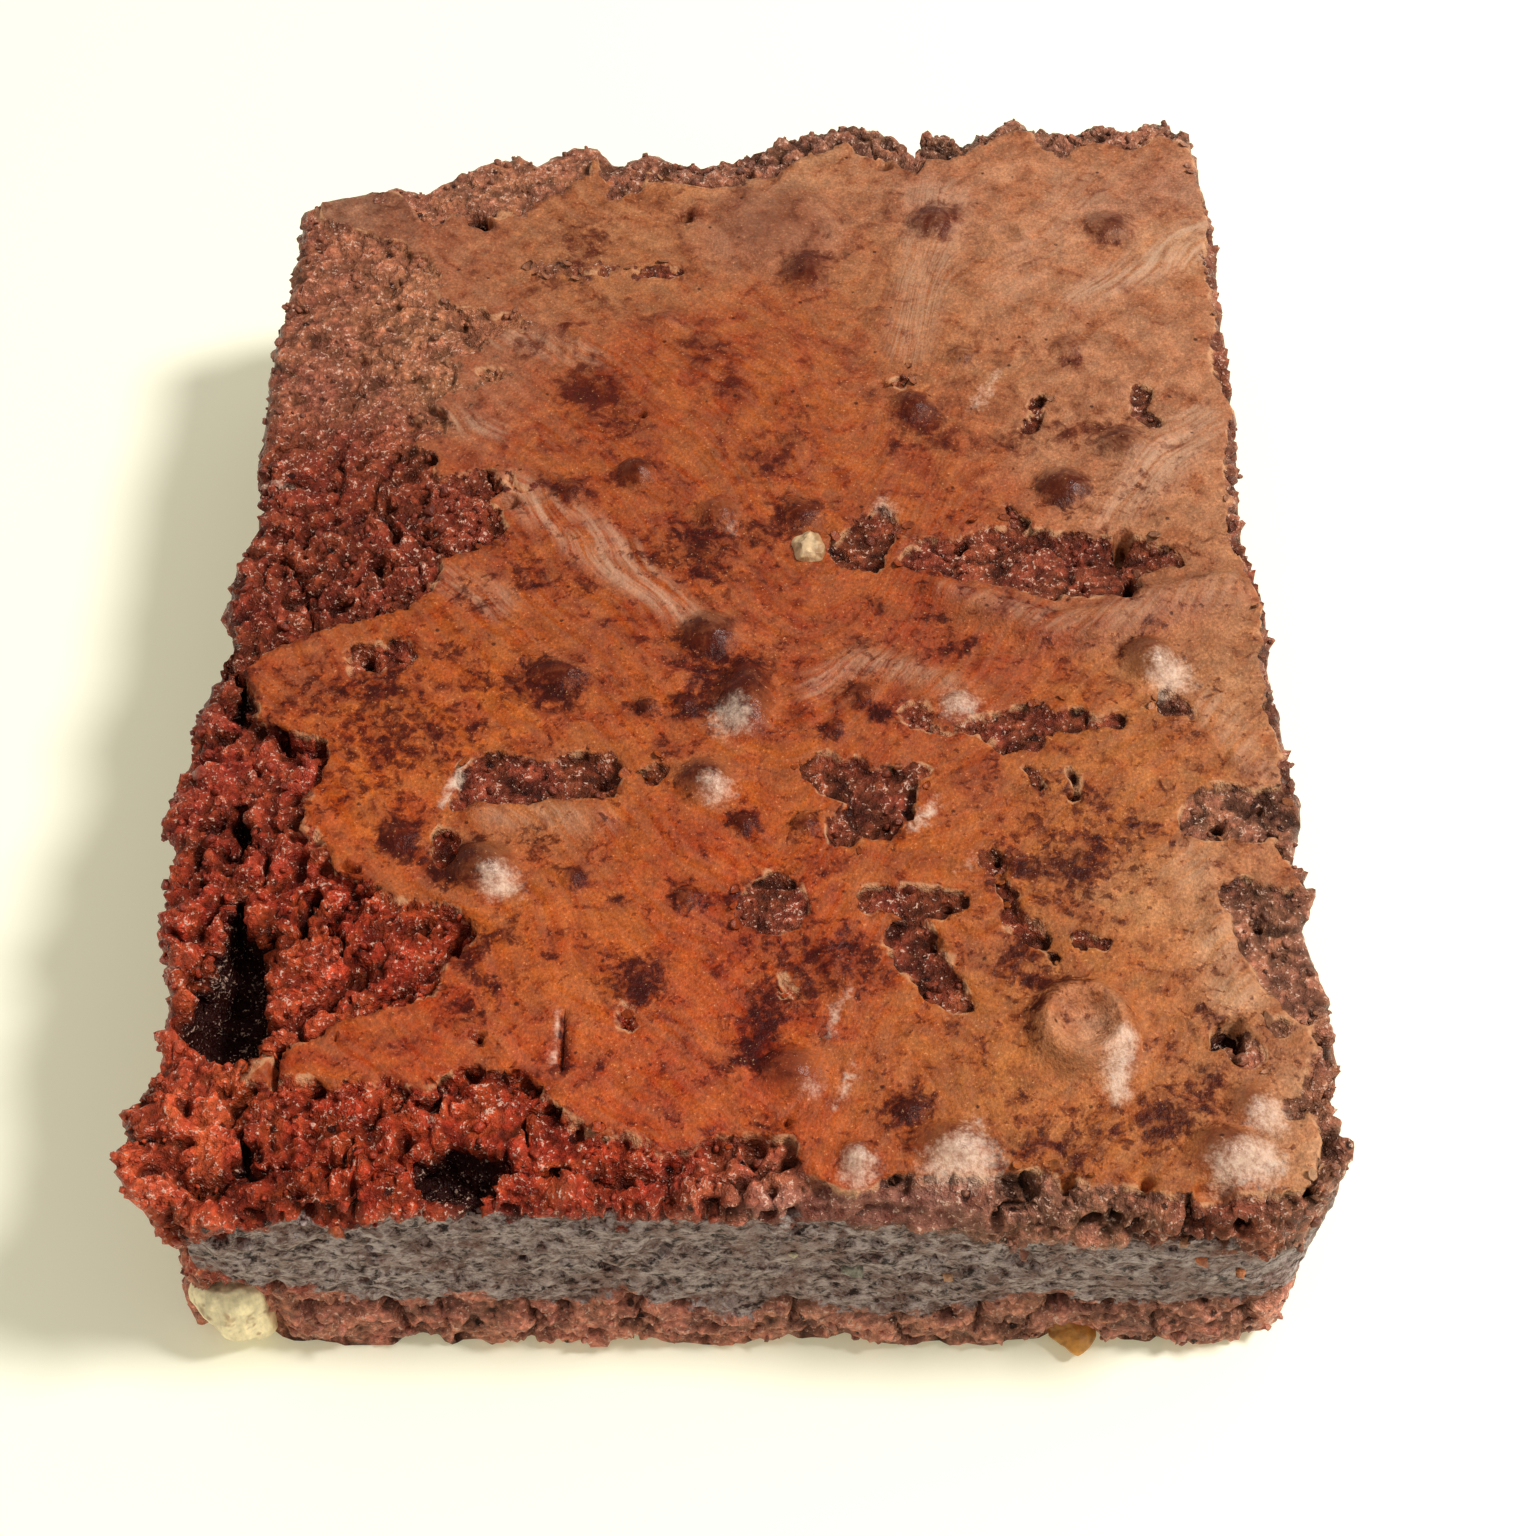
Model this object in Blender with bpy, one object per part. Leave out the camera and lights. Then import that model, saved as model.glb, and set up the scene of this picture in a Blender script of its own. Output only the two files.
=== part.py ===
"""A chocolate brownie: one hand-cut slab with a papery top, torn crumb edges and three chips of walnut.

Run it with: blender --background --python part.py

X runs across the slab, Y from its near cut face to its far edge, and Z up from the face it lies on.
The tables below are in millimetres, and MM turns them into Blender's metres.
"""

import itertools
import math

import bmesh
import bpy
import numpy as np
from mathutils import Vector

MM = 0.001

# Driving sizes of the slab.
WIDTH = 70.0
NEAR_Y = -48.0
FAR_Y = 43.5
FAR_SLANT = 0.135
HEIGHT = 20.0
CORNER_RADIUS = {(-1, -1): 1.6, (1, -1): 3.6, (-1, 1): 1.8, (1, 1): 1.2}
EDGE_ROUNDING = 1.1
FOOT_ROUNDING = 0.9
WAIST_HEIGHT = 11.0
WAIST_SPREAD = 4.5
LEFT_WAIST = 0.9
LEFT_CORNER_WAIST = 1.4
FAR_WAIST = 0.8
BASE_BAND_STEP = 0.4
RAGGED_REACH = 7.0
SWELL_SIZE = 17.0
SWELL_RISE = 0.35

# Sizes of the crumb's lumps and how far they stand out, and the slab's first grid and final triangles.
COARSE_CRUMB = (3.6, 1.7)
FINE_CRUMB = (1.7, 0.6)
CRUMB_LEVEL = 1.05
CELL = 1.0
BODY_TRIANGLES = 9700
SOCKET_GAP = 0.3

# Where the torn and cut edges of the top run: (place along the edge, place across it).
LEFT_EDGE = [
    (-48.5, -34.6), (-46.0, -36.3), (-43.0, -37.2), (-40.5, -36.6), (-38.5, -35.4), (-33.0, -35.7),
    (-28.0, -36.4), (-24.0, -36.0), (-20.0, -37.0), (-16.0, -36.7), (-12.0, -36.3), (-8.0, -35.8),
    (-6.5, -34.9), (-1.5, -35.6), (5.0, -34.6), (12.0, -35.3), (22.0, -35.7), (30.0, -35.0), (39.0, -34.8),
]
RIGHT_EDGE = [
    (-48.0, 34.6), (-44.5, 35.9), (-41.0, 35.4), (-38.0, 36.2), (-33.5, 36.0), (-28.5, 35.2),
    (-26.0, 36.3), (-23.5, 35.2), (-20.5, 36.2), (-11.0, 35.9), (-8.0, 35.5), (-3.5, 36.0),
    (5.0, 35.0), (15.0, 35.8), (27.0, 35.9), (35.0, 36.5), (42.0, 36.1), (48.0, 35.9),
]
FAR_EDGE = [
    (-35.0, 38.4), (-30.0, 39.8), (-28.0, 41.3), (-25.5, 40.2), (-23.0, 43.0), (-18.5, 45.0),
    (-17.0, 43.7), (-14.0, 46.0), (-12.2, 46.0), (-10.9, 43.9), (-8.0, 45.0), (-3.0, 43.9),
    (1.5, 46.0), (4.7, 47.4), (7.8, 49.0), (11.5, 47.0), (13.4, 44.0), (14.3, 47.2), (17.0, 46.2),
    (21.5, 49.0), (25.0, 47.2), (28.0, 48.3), (31.0, 47.6), (33.0, 48.9), (35.5, 48.0),
]
NEAR_EDGE = [
    (-35.0, -47.6), (-31.0, -48.6), (-26.0, -48.2), (-17.0, -47.9), (-5.0, -48.0), (6.0, -47.9),
    (18.0, -48.3), (28.0, -48.6), (33.0, -48.0),
]

# Bare patches, where the papery top is gone: the depth of each, and the discs (x, y, radius) it sweeps.
BARE_PATCHES = [
    (0.55, [(-31, 27, 5.0), (-25, 24, 6.0), (-28, 15, 6.5), (-28, 5, 6.8), (-30, -3, 6.0)]),
    (0.55, [(-25, 22, 5.0), (-20, 24, 3.5)]),
    (0.85, [(-34, -11, 2.2), (-33, -17, 4.2), (-33, -23, 5.2)]),
    (0.95, [(-33, -27, 5.0), (-28, -29, 3.2), (-24, -30.5, 4.2), (-19.5, -32.5, 3.2)]),
    (0.9, [(-34, -38, 3.4), (-33, -43, 5.4), (-27, -44, 3.8), (-14, -45, 3.2), (-5, -46.8, 2.4)]),
    (0.9, [(-16.5, -17.8, 2.2), (-13, -17.8, 1.9), (-9.7, -17.6, 1.9)]),
    (0.9, [(4.9, -17.2, 1.4), (7.3, -18.8, 1.9), (9.8, -19.0, 1.8)]),
    (0.9, [(7.3, -21.3, 1.8), (9.6, -19.4, 1.8)]),
    (0.8, [(15.8, -14.0, 1.2), (18.5, -13.5, 1.4), (21.6, -13.4, 1.3), (24.7, -13.0, 0.7)]),
    (1.0, [(8.0, 1.8, 2.1), (11.8, 1.6, 1.2), (17.5, 1.6, 2.7), (24.6, 0.3, 2.8), (28.8, 0.8, 1.3)]),
    (0.8, [(8.5, -27.4, 1.3), (13.0, -28.0, 1.1), (10.8, -30.6, 1.8), (13.0, -34.4, 1.3)]),
    (0.8, [(16.0, -24.6, 0.8), (17.0, -28.3, 0.9), (18.0, -29.8, 1.2)]),
    (0.9, [(30.2, -20.9, 2.3), (34.0, -20.9, 2.0)]),
    (0.9, [(32.5, -27.5, 2.6), (33.5, -31.0, 2.9), (34.5, -34.5, 2.0)]),
    (1.0, [(-26.0, -7.8, 1.4), (-23.8, -7.5, 1.5)]),
    (0.7, [(30.0, -37.6, 1.5)]),
    (0.6, [(-21.0, 42.0, 3.0), (-14.0, 43.5, 2.8), (-6.0, 43.0, 1.8)]),
    (0.6, [(5.0, 47.0, 1.6), (20.0, 47.6, 2.0), (33.0, 47.5, 1.6)]),
]

# Blisters that rose under the papery top: (x, y, half width, half length, rise).
BLISTERS = [
    (-16.6, -24.8, 2.3, 1.9, 1.0),
    (-2.4, -5.6, 2.2, 2.0, 0.8),
    (0.2, -11.4, 2.0, 3.4, 1.0),
    (-2.6, -18.0, 1.9, 1.7, 0.8),
    (27.3, -8.0, 2.0, 2.0, 1.0),
    (20.7, -36.6, 3.2, 3.2, 0.9),
    (3.0, -39.4, 1.9, 1.7, 0.8),
    (-7.8, 9.2, 1.5, 1.5, 0.7),
    (22.6, 8.0, 2.2, 1.8, 0.7),
    (27.2, 12.0, 1.9, 1.8, 0.6),
    (12.2, 15.6, 1.7, 1.6, 0.6),
    (4.3, 30.0, 1.9, 2.8, 0.7),
    (2.2, 36.0, 5.4, 5.6, 0.5),
    (14.5, 35.6, 2.1, 2.0, 0.6),
    (28.2, 35.3, 2.1, 2.0, 0.6),
    (29.6, -43.4, 2.3, 2.2, 0.8),
]

# The swept fold of skin behind the near right blister, and its rise.
FOLD = [(13.0, -1.8, 0.8), (17.0, -3.6, 1.3), (21.5, -5.6, 1.4), (26.0, -4.6, 1.4), (32.5, -2.2, 1.2)]
FOLD_RISE = 0.6

# Deep cavities: centre of the mouth, half sizes, and the tilt of the long axis in degrees.
CAVITIES = [
    ("pocket_left_far", (-31.6, -29.5, 19.6), (1.8, 3.2, 6.5), 8),
    ("pocket_left_near", (-31.6, -34.8, 19.6), (2.6, 3.9, 8.0), -10),
    ("pocket_near", (-17.0, -46.5, 19.7), (2.7, 1.9, 4.6), 0),
    ("pocket_far", (-21.0, 36.2, 19.4), (1.2, 1.7, 3.5), 15),
]

# Chips of walnut: centre, half sizes, seed of their facets.
WALNUTS = [
    ("walnut_corner", (-32.0, -47.0, 3.95), (3.1, 2.5, 3.9), 3),
    ("walnut_foot", (21.0, -47.6, 1.05), (1.6, 2.0, 1.0), 5),
    ("walnut_top", (4.4, 2.0, 19.95), (1.3, 1.5, 0.95), 8),
]

COLOURS = {
    "brownie": ((0.33, 0.115, 0.045, 1.0), 0.6),
    "walnut": ((0.72, 0.56, 0.30, 1.0), 0.55),
}


def clear_scene():
    for thing in list(bpy.data.objects):
        bpy.data.objects.remove(thing, do_unlink=True)


def collection(name):
    made = bpy.data.collections.new(name)
    bpy.context.scene.collection.children.link(made)
    return made


def material(name):
    colour, roughness = COLOURS[name]
    made = bpy.data.materials.new(name)
    made.use_nodes = True
    shader = made.node_tree.nodes["Principled BSDF"]
    shader.inputs["Base Color"].default_value = colour
    shader.inputs["Roughness"].default_value = roughness
    shader.inputs["Metallic"].default_value = 0.0
    return made


def ease(low, high, value):
    """0 below low, 1 above high, and an S curve between them."""
    share = np.clip((value - low) / (high - low), 0, 1)
    return share * share * (3 - 2 * share)


def dice(cell, seed):
    """A steady number from 0 to 1 for each whole-numbered cell."""
    mixed = (cell * np.array([73856093, 19349663, 83492791])).sum(-1) + seed * 2654435
    mixed = ((mixed ^ (mixed >> 13)) * 1274126177) & 0xFFFFFFFF
    return ((mixed ^ (mixed >> 16)) & 0xFFFFFF) / 0xFFFFFF


def drift(points, size, seed):
    """Smooth noise from -1 to 1: the numbers at a cell's eight corners, blended by an eased weight."""
    scaled = points / size
    cell = np.floor(scaled).astype(np.int64)
    share = scaled - cell
    share = share * share * (3 - 2 * share)
    total = np.zeros(len(points))
    for corner in itertools.product((0, 1), repeat=3):
        total += np.prod(np.where(corner, share, 1 - share), axis=-1) * dice(cell + np.array(corner), seed)
    return 2 * total - 1


def lumps(points, size, seed):
    """Rounded lumps, one to a cell: 1 on a lump's crown, falling away from it to about 0 in the creases."""
    scaled = points / size
    cell = np.floor(scaled).astype(np.int64)
    nearest = np.full(len(points), 9.0)
    for step in itertools.product((-1, 0, 1), repeat=3):
        other = cell + np.array(step)
        seat = other + np.stack([dice(other, seed + axis) for axis in range(3)], axis=-1)
        nearest = np.minimum(nearest, ((scaled - seat) ** 2).sum(-1))
    return 1 - np.sqrt(nearest)


def swept_distance(x, y, discs):
    """Distance to the outline of a row of discs joined by straight sweeps, negative inside."""
    if len(discs) == 1:
        discs = discs * 2
    found = np.full(len(x), 1e3)
    for (ax, ay, ar), (bx, by, br) in zip(discs, discs[1:]):
        dx, dy = bx - ax, by - ay
        along = np.clip(((x - ax) * dx + (y - ay) * dy) / max(dx * dx + dy * dy, 1e-9), 0, 1)
        reach = np.hypot(x - ax - along * dx, y - ay - along * dy)
        found = np.minimum(found, reach - ar - along * (br - ar))
    return found


def edge_at(table, along):
    """The edge's place across, read from its table between points."""
    return np.interp(along, *zip(*table))


def far_line(x):
    return FAR_Y + FAR_SLANT * x


def plan_of(u, v):
    """Where a point of the square from -1 to 1 lands on the slab's plan, and which way is outwards there.

    The square's corners are bent to quarter discs, then each edge is pulled to its torn line,
    by a pull that fades over RAGGED_REACH inwards.
    """
    half = WIDTH / 2
    x = u * half
    length = far_line(x) - NEAR_Y
    y = NEAR_Y + (v + 1) / 2 * length
    out_x, out_y = np.where(abs(u) > 0.999, u, 0.0), np.where(abs(v) > 0.999, v, 0.0)
    for (side_x, side_y), radius in CORNER_RADIUS.items():
        over_x = (x * side_x - (half - radius)) / radius
        edge_y = (y - NEAR_Y) if side_y < 0 else (far_line(x) - y)
        over_y = (radius - edge_y) / radius
        inside = (over_x > 0) & (over_y > 0)
        s, t = np.clip(over_x, 0, 1), np.clip(over_y, 0, 1)
        x = np.where(inside, side_x * (half - radius + radius * s * np.sqrt(1 - t * t / 2)), x)
        moved = radius * (t * np.sqrt(1 - s * s / 2) - t)
        y = np.where(inside, y + side_y * moved, y)
        rim = inside & ((s > 0.999) | (t > 0.999))
        out_x = np.where(rim, side_x * s, out_x)
        out_y = np.where(rim, side_y * t, out_y)
    size = np.maximum(np.hypot(out_x, out_y), 1e-9)
    return x, y, out_x / size, out_y / size


def ragged_pull(x, y, strength):
    """How far each plan point is pulled in X and Y by the torn edges near it."""
    half = WIDTH / 2
    left = (edge_at(LEFT_EDGE, y) + half) * (1 - ease(0, RAGGED_REACH, x + half))
    right = (edge_at(RIGHT_EDGE, y) - half) * (1 - ease(0, RAGGED_REACH, half - x))
    far = (edge_at(FAR_EDGE, x) - far_line(x)) * (1 - ease(0, RAGGED_REACH, far_line(x) - y))
    near = (edge_at(NEAR_EDGE, x) - NEAR_Y) * (1 - ease(0, RAGGED_REACH, y - NEAR_Y))
    return (left + right) * strength, (far + near) * strength


def rim_distance(x, y):
    """Distance inwards from the nearest edge of the top."""
    sides = (
        x - edge_at(LEFT_EDGE, y),
        edge_at(RIGHT_EDGE, y) - x,
        edge_at(FAR_EDGE, x) - y,
        y - edge_at(NEAR_EDGE, x),
    )
    return np.maximum(np.minimum.reduce(sides), 0)


def bareness(x, y):
    """How deep the bare patches lie under the papery top at each point."""
    flat = np.stack([x, y, np.zeros(len(x))], axis=-1)
    wander = 0.55 * drift(flat, 2.2, 11) + 0.25 * drift(flat, 0.9, 12)
    depth = np.zeros(len(x))
    for deep, discs in BARE_PATCHES:
        inside = 1 - ease(-0.45, 0.25, swept_distance(x, y, discs) + wander)
        depth = np.maximum(depth, deep * inside)
    return depth


def top_height(x, y):
    """Height of the top: the slab's, less edge rounding and bare patches, plus blisters and the fold."""
    flat = np.stack([x, y, np.zeros(len(x))], axis=-1)
    inward = np.clip(EDGE_ROUNDING - rim_distance(x, y), 0, EDGE_ROUNDING)
    drop = EDGE_ROUNDING - np.sqrt(np.maximum(EDGE_ROUNDING**2 - inward**2, 0))
    height = HEIGHT - drop + SWELL_RISE * drift(flat, SWELL_SIZE, 4) - bareness(x, y)
    for cx, cy, across, along, rise in BLISTERS:
        height += rise * np.exp(-(((x - cx) / across) ** 2 + ((y - cy) / along) ** 2) * 1.3)
    crest = np.clip(-swept_distance(x, y, FOLD) / FOLD[1][2] + 0.15, 0, 1)
    return height + FOLD_RISE * np.sqrt(crest)


def wall_offset(x, y, z, out_x, out_y):
    """How far the side wall stands out at each height: a waist under the torn crust, and a rounded foot."""
    waist = np.exp(-(((z - WAIST_HEIGHT) / WAIST_SPREAD) ** 2))
    left, far = np.clip(-out_x, 0, 1), np.clip(out_y, 0, 1)
    near = np.clip(-out_y, 0, 1)
    corner = np.exp(-(((y - NEAR_Y) / 7) ** 2))
    pinch = left * (LEFT_WAIST + LEFT_CORNER_WAIST * corner) + far * FAR_WAIST
    band = near * BASE_BAND_STEP * (1 - ease(1, 6, z))
    foot = FOOT_ROUNDING * (1 - ease(0, 1.6, z)) ** 2
    return band - pinch * waist - foot


def tornness(x, y, z, out_x, out_y, on_top):
    """How crumbly the surface is, from 0 on a knife cut to 1 on a tear."""
    left, right = np.clip(-out_x, 0, 1), np.clip(out_x, 0, 1)
    near, far = np.clip(-out_y, 0, 1), np.clip(out_y, 0, 1)
    wall = np.maximum.reduce([left, far, 0.2 * near, 0.3 * right])
    wall = np.maximum(wall, 0.55 * (1 - ease(3.5, 6, z)))
    top = np.maximum(0.1, 0.7 * np.clip(bareness(x, y), 0, 1))
    return np.where(on_top, top, wall) * ease(0.0, 0.8, z)


def subdivided_box():
    """A cube primitive cut into cells of about CELL, spanning -1 to 1 each way, as a bmesh."""
    block = bmesh.new()
    bmesh.ops.create_cube(block, size=2.0)
    counts = (WIDTH / CELL, (FAR_Y - NEAR_Y) / CELL, HEIGHT / CELL)
    for axis, count in enumerate(counts):
        along = [e for e in block.edges if abs(e.verts[0].co[axis] - e.verts[1].co[axis]) > 1e-5]
        bmesh.ops.subdivide_edges(block, edges=along, cuts=int(round(count)) - 1, use_grid_fill=True)
    return block


def shape_slab(mesh):
    """Moves the box's points to the slab's form: plan, walls and top first, then the lumps of torn crumb."""
    count = len(mesh.vertices)
    unit = np.empty(count * 3)
    mesh.vertices.foreach_get("co", unit)
    u, v, w = unit.reshape(-1, 3).T
    x, y, out_x, out_y = plan_of(u, v)
    on_top = w > 0.999
    raised = (w + 1) / 2
    rough_height = raised * HEIGHT
    pull_x, pull_y = ragged_pull(x, y, ease(4, 13, rough_height) * 0.85 + 0.15)
    x, y = x + pull_x, y + pull_y
    z = raised * top_height(x, y)
    side = (abs(u) > 0.999) | (abs(v) > 0.999)
    offset = np.where(side, wall_offset(x, y, z, out_x, out_y), 0.0) * (1 - ease(0.9, 1.0, raised))
    x, y = x + out_x * offset, y + out_y * offset
    points = np.stack([x, y, z], axis=-1)
    mesh.vertices.foreach_set("co", points.ravel())
    mesh.update()
    normals = np.empty(count * 3, np.float32)
    mesh.vertex_normals.foreach_get("vector", normals)
    torn = tornness(x, y, z, out_x, out_y, on_top)
    coarse = COARSE_CRUMB[1] * lumps(points, COARSE_CRUMB[0], 21)
    fine = FINE_CRUMB[1] * lumps(points, FINE_CRUMB[0], 31)
    relief = torn * (coarse + fine - CRUMB_LEVEL)
    points += normals.reshape(-1, 3) * relief[:, None]
    points[:, 2] = np.where(w < -0.999, 0, np.maximum(points[:, 2], 0.02))
    mesh.vertices.foreach_set("co", (points * MM).ravel())
    mesh.update()


def apply_modifiers(thing):
    """Swaps the object's mesh for the one that its modifiers give."""
    graph = bpy.context.evaluated_depsgraph_get()
    shaped = bpy.data.meshes.new_from_object(thing.evaluated_get(graph))
    thing.modifiers.clear()
    thing.data = shaped


def thin_out(thing, triangles):
    """Collapses the mesh to about that many triangles, most of them left where the form bends."""
    thing.data.calc_loop_triangles()
    modifier = thing.modifiers.new("thin_out", "DECIMATE")
    modifier.ratio = triangles / len(thing.data.loop_triangles)
    apply_modifiers(thing)


def flatten_foot(thing):
    """Sets the underside exactly on the plane that the slab lies on, as one face."""
    block = bmesh.new()
    block.from_mesh(thing.data)
    for vert in block.verts:
        if vert.co.z < 0.015 * MM:
            vert.co.z = 0.0
    under = [f for f in block.faces if all(v.co.z == 0.0 for v in f.verts)]
    bmesh.ops.dissolve_faces(block, faces=under)
    block.to_mesh(thing.data)
    block.free()


def make_slab(into, finish):
    mesh = bpy.data.meshes.new("brownie")
    block = subdivided_box()
    block.to_mesh(mesh)
    block.free()
    shape_slab(mesh)
    slab = bpy.data.objects.new("brownie", mesh)
    into.objects.link(slab)
    thin_out(slab, BODY_TRIANGLES)
    flatten_foot(slab)
    slab.data.materials.clear()
    slab.data.materials.append(finish)
    return slab


def make_pocket(into, name, centre, half_sizes, tilt):
    """An ellipsoid cutter with a lumpy wall, for a deep cavity in the crumb."""
    mesh = bpy.data.meshes.new(name)
    block = bmesh.new()
    bmesh.ops.create_icosphere(block, subdivisions=3, radius=1.0)
    for vert in block.verts:
        away = np.array([vert.co * 2.0 + Vector(centre)])
        vert.co *= 1 + 0.16 * float(drift(away, 0.9, 41)[0])
        vert.co = Vector(a * b for a, b in zip(vert.co, half_sizes)) * MM
    block.to_mesh(mesh)
    block.free()
    cutter = bpy.data.objects.new(name, mesh)
    cutter.location = Vector(centre) * MM
    cutter.rotation_euler = (0, 0, math.radians(tilt))
    cutter.hide_render = True
    cutter.display_type = "WIRE"
    into.objects.link(cutter)
    return cutter


def walnut_mesh(name, centre, half_sizes, seed, swell):
    """A chip of nut: an icosphere squared off by flat breaks, scaled, and kept above the floor."""
    mesh = bpy.data.meshes.new(name)
    block = bmesh.new()
    bmesh.ops.create_icosphere(block, subdivisions=3, radius=1.0)
    points = np.array([vert.co for vert in block.verts])
    breaks = np.random.default_rng(seed).normal(size=(9, 3))
    breaks /= np.linalg.norm(breaks, axis=1)[:, None]
    for facing in breaks:
        over = points @ facing - 0.74
        points -= np.maximum(over, 0)[:, None] * facing * 0.9
    points *= (1 + 0.06 * drift(points, 0.5, seed))[:, None]
    points = points * (np.array(half_sizes) + swell)
    floor = 0.06 if swell == 0 else -1.0
    points[:, 2] = np.maximum(points[:, 2], floor - centre[2])
    for vert, point in zip(block.verts, points):
        vert.co = Vector(point) * MM
    bmesh.ops.dissolve_limit(block, angle_limit=math.radians(1.5), verts=block.verts, edges=block.edges)
    block.to_mesh(mesh)
    block.free()
    return mesh


def make_walnut(parts, cutters, finish, name, centre, half_sizes, seed):
    """The chip itself, and the cutter for its socket, larger by the gap all round."""
    chip = bpy.data.objects.new(name, walnut_mesh(name, centre, half_sizes, seed, 0))
    chip.location = Vector(centre) * MM
    chip.data.materials.append(finish)
    parts.objects.link(chip)
    socket = bpy.data.objects.new(
        name + "_socket", walnut_mesh(name + "_socket", centre, half_sizes, seed, SOCKET_GAP)
    )
    socket.location = chip.location
    socket.hide_render = True
    socket.display_type = "WIRE"
    cutters.objects.link(socket)
    return socket


def cut(slab, cutter):
    modifier = slab.modifiers.new("cut_" + cutter.name, "BOOLEAN")
    modifier.operation = "DIFFERENCE"
    modifier.object = cutter


def main():
    clear_scene()
    parts = collection("chocolate_brownie")
    cutters = collection("cutters")
    slab = make_slab(parts, material("brownie"))
    for name, centre, half_sizes, tilt in CAVITIES:
        cut(slab, make_pocket(cutters, name, centre, half_sizes, tilt))
    nut = material("walnut")
    for name, centre, half_sizes, seed in WALNUTS:
        cut(slab, make_walnut(parts, cutters, nut, name, centre, half_sizes, seed))


main()
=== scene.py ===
# %% [markdown]
# # A chocolate brownie
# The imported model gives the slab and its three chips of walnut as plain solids. This script dresses them:
# it makes the slab again with its papery skin, craters, torn crumb and knife cut at full detail, and adds
# the loose crumbs and lifted flakes that the plain solids leave out. Lengths in the tables are millimetres.

# %% The fixed frame
import functools
import itertools
import math
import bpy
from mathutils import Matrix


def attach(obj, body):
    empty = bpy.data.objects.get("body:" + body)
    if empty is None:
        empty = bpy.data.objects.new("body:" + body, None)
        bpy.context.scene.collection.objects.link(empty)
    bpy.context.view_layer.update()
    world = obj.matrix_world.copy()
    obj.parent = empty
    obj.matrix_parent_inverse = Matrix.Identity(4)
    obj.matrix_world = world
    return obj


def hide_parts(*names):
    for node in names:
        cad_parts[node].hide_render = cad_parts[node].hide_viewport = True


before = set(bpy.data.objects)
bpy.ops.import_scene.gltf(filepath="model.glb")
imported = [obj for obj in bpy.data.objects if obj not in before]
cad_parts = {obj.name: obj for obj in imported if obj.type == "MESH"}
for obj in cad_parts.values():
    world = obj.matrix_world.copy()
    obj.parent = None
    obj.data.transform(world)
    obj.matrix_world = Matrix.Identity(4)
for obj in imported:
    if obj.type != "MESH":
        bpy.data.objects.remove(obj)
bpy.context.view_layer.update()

import types

import bpy
import numpy as np

MM = 0.001

# %% [markdown]
# ## The camera
# The view was worked out from the slab's own edges: they run to two vanishing points, which give the lens
# and the tilt. It could be set by eye, but a lens that is wrong by a tenth makes every shape wrong too. It
# comes first, so that each later step can be judged from the right place.

# %% Camera
PHOTO_PIXELS = 1536
FOCAL_PIXELS = 2450.0
CAMERA_PLACE = (1.57, -111.55, 149.14)
CAMERA_PITCH = 53.8

camera = bpy.data.objects.new("view_from_the_near_side", bpy.data.cameras.new("lens"))
camera.data.sensor_width = 36.0
camera.data.lens = camera.data.sensor_width * FOCAL_PIXELS / PHOTO_PIXELS
camera.data.clip_start = 0.01
camera.location = [c * MM for c in CAMERA_PLACE]
camera.rotation_euler = (math.radians(90 - CAMERA_PITCH), 0, 0)
bpy.context.scene.collection.objects.link(camera)
bpy.context.scene.camera = camera
print("lens", round(camera.data.lens, 1), "mm")

# %% [markdown]
# ## Noise
# Baked crumb is irregular at every size, from lumps as large as a pea to grains like sugar. Sculpting it by
# hand would take days, so two steady noises make all of it: drift, which is smooth, and grains, which gives
# rounded lumps. They are worked out for whole arrays at once, and a place always gets the same number.

# %% Steady noise on arrays
def ease(low, high, value):
    """0 at low, 1 at high, and an S curve between them (either way round)."""
    share = np.clip((value - low) / (high - low), 0, 1)
    return share * share * (3 - 2 * share)


CELL_PRIMES, SEED_STEP = np.array([73856093, 19349663, 83492791]), 2654435


def dice(cell, seed):
    """A steady number from 0 to 1 for each whole-numbered cell: its numbers times primes, well stirred."""
    mixed = (cell * CELL_PRIMES).sum(-1) + seed * SEED_STEP
    mixed = ((mixed ^ (mixed >> 13)) * 1274126177) & 0xFFFFFFFF
    return ((mixed ^ (mixed >> 16)) & 0xFFFFFF) / 0xFFFFFF


def drift(points, size, seed):
    """Smooth noise from -1 to 1: the numbers at a cell's eight corners, blended by an eased weight."""
    scaled = points / size
    cell = np.floor(scaled).astype(np.int64)
    share = scaled - cell
    share = share * share * (3 - 2 * share)
    total = np.zeros(len(points))
    for corner in itertools.product((0, 1), repeat=3):
        total += np.prod(np.where(corner, share, 1 - share), axis=-1) * dice(cell + np.array(corner), seed)
    return 2 * total - 1


def waver(points, *waves):
    """The sum of several drifts, each given as its reach, its size and its seed."""
    return sum(reach * drift(points, size, seed) for reach, size, seed in waves)


def grains(points, size, seed):
    """Distance, in cells, to the nearest of one seed point in every cell."""
    scaled = points / size
    cell = np.floor(scaled).astype(np.int64)
    nearest = np.full(len(points), 9.0)
    for step in itertools.product((-1, 0, 1), repeat=3):
        other = cell + np.array(step)
        seat = other + np.stack([dice(other, seed + axis) for axis in range(3)], axis=-1)
        nearest = np.minimum(nearest, ((scaled - seat) ** 2).sum(-1))
    return np.sqrt(nearest)


# %% Distances on the plan
def flat(x, y):
    """Points on the plan, for noise that doesn't change with height."""
    return np.stack([x, y, np.zeros(len(x))], axis=-1)


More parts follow.
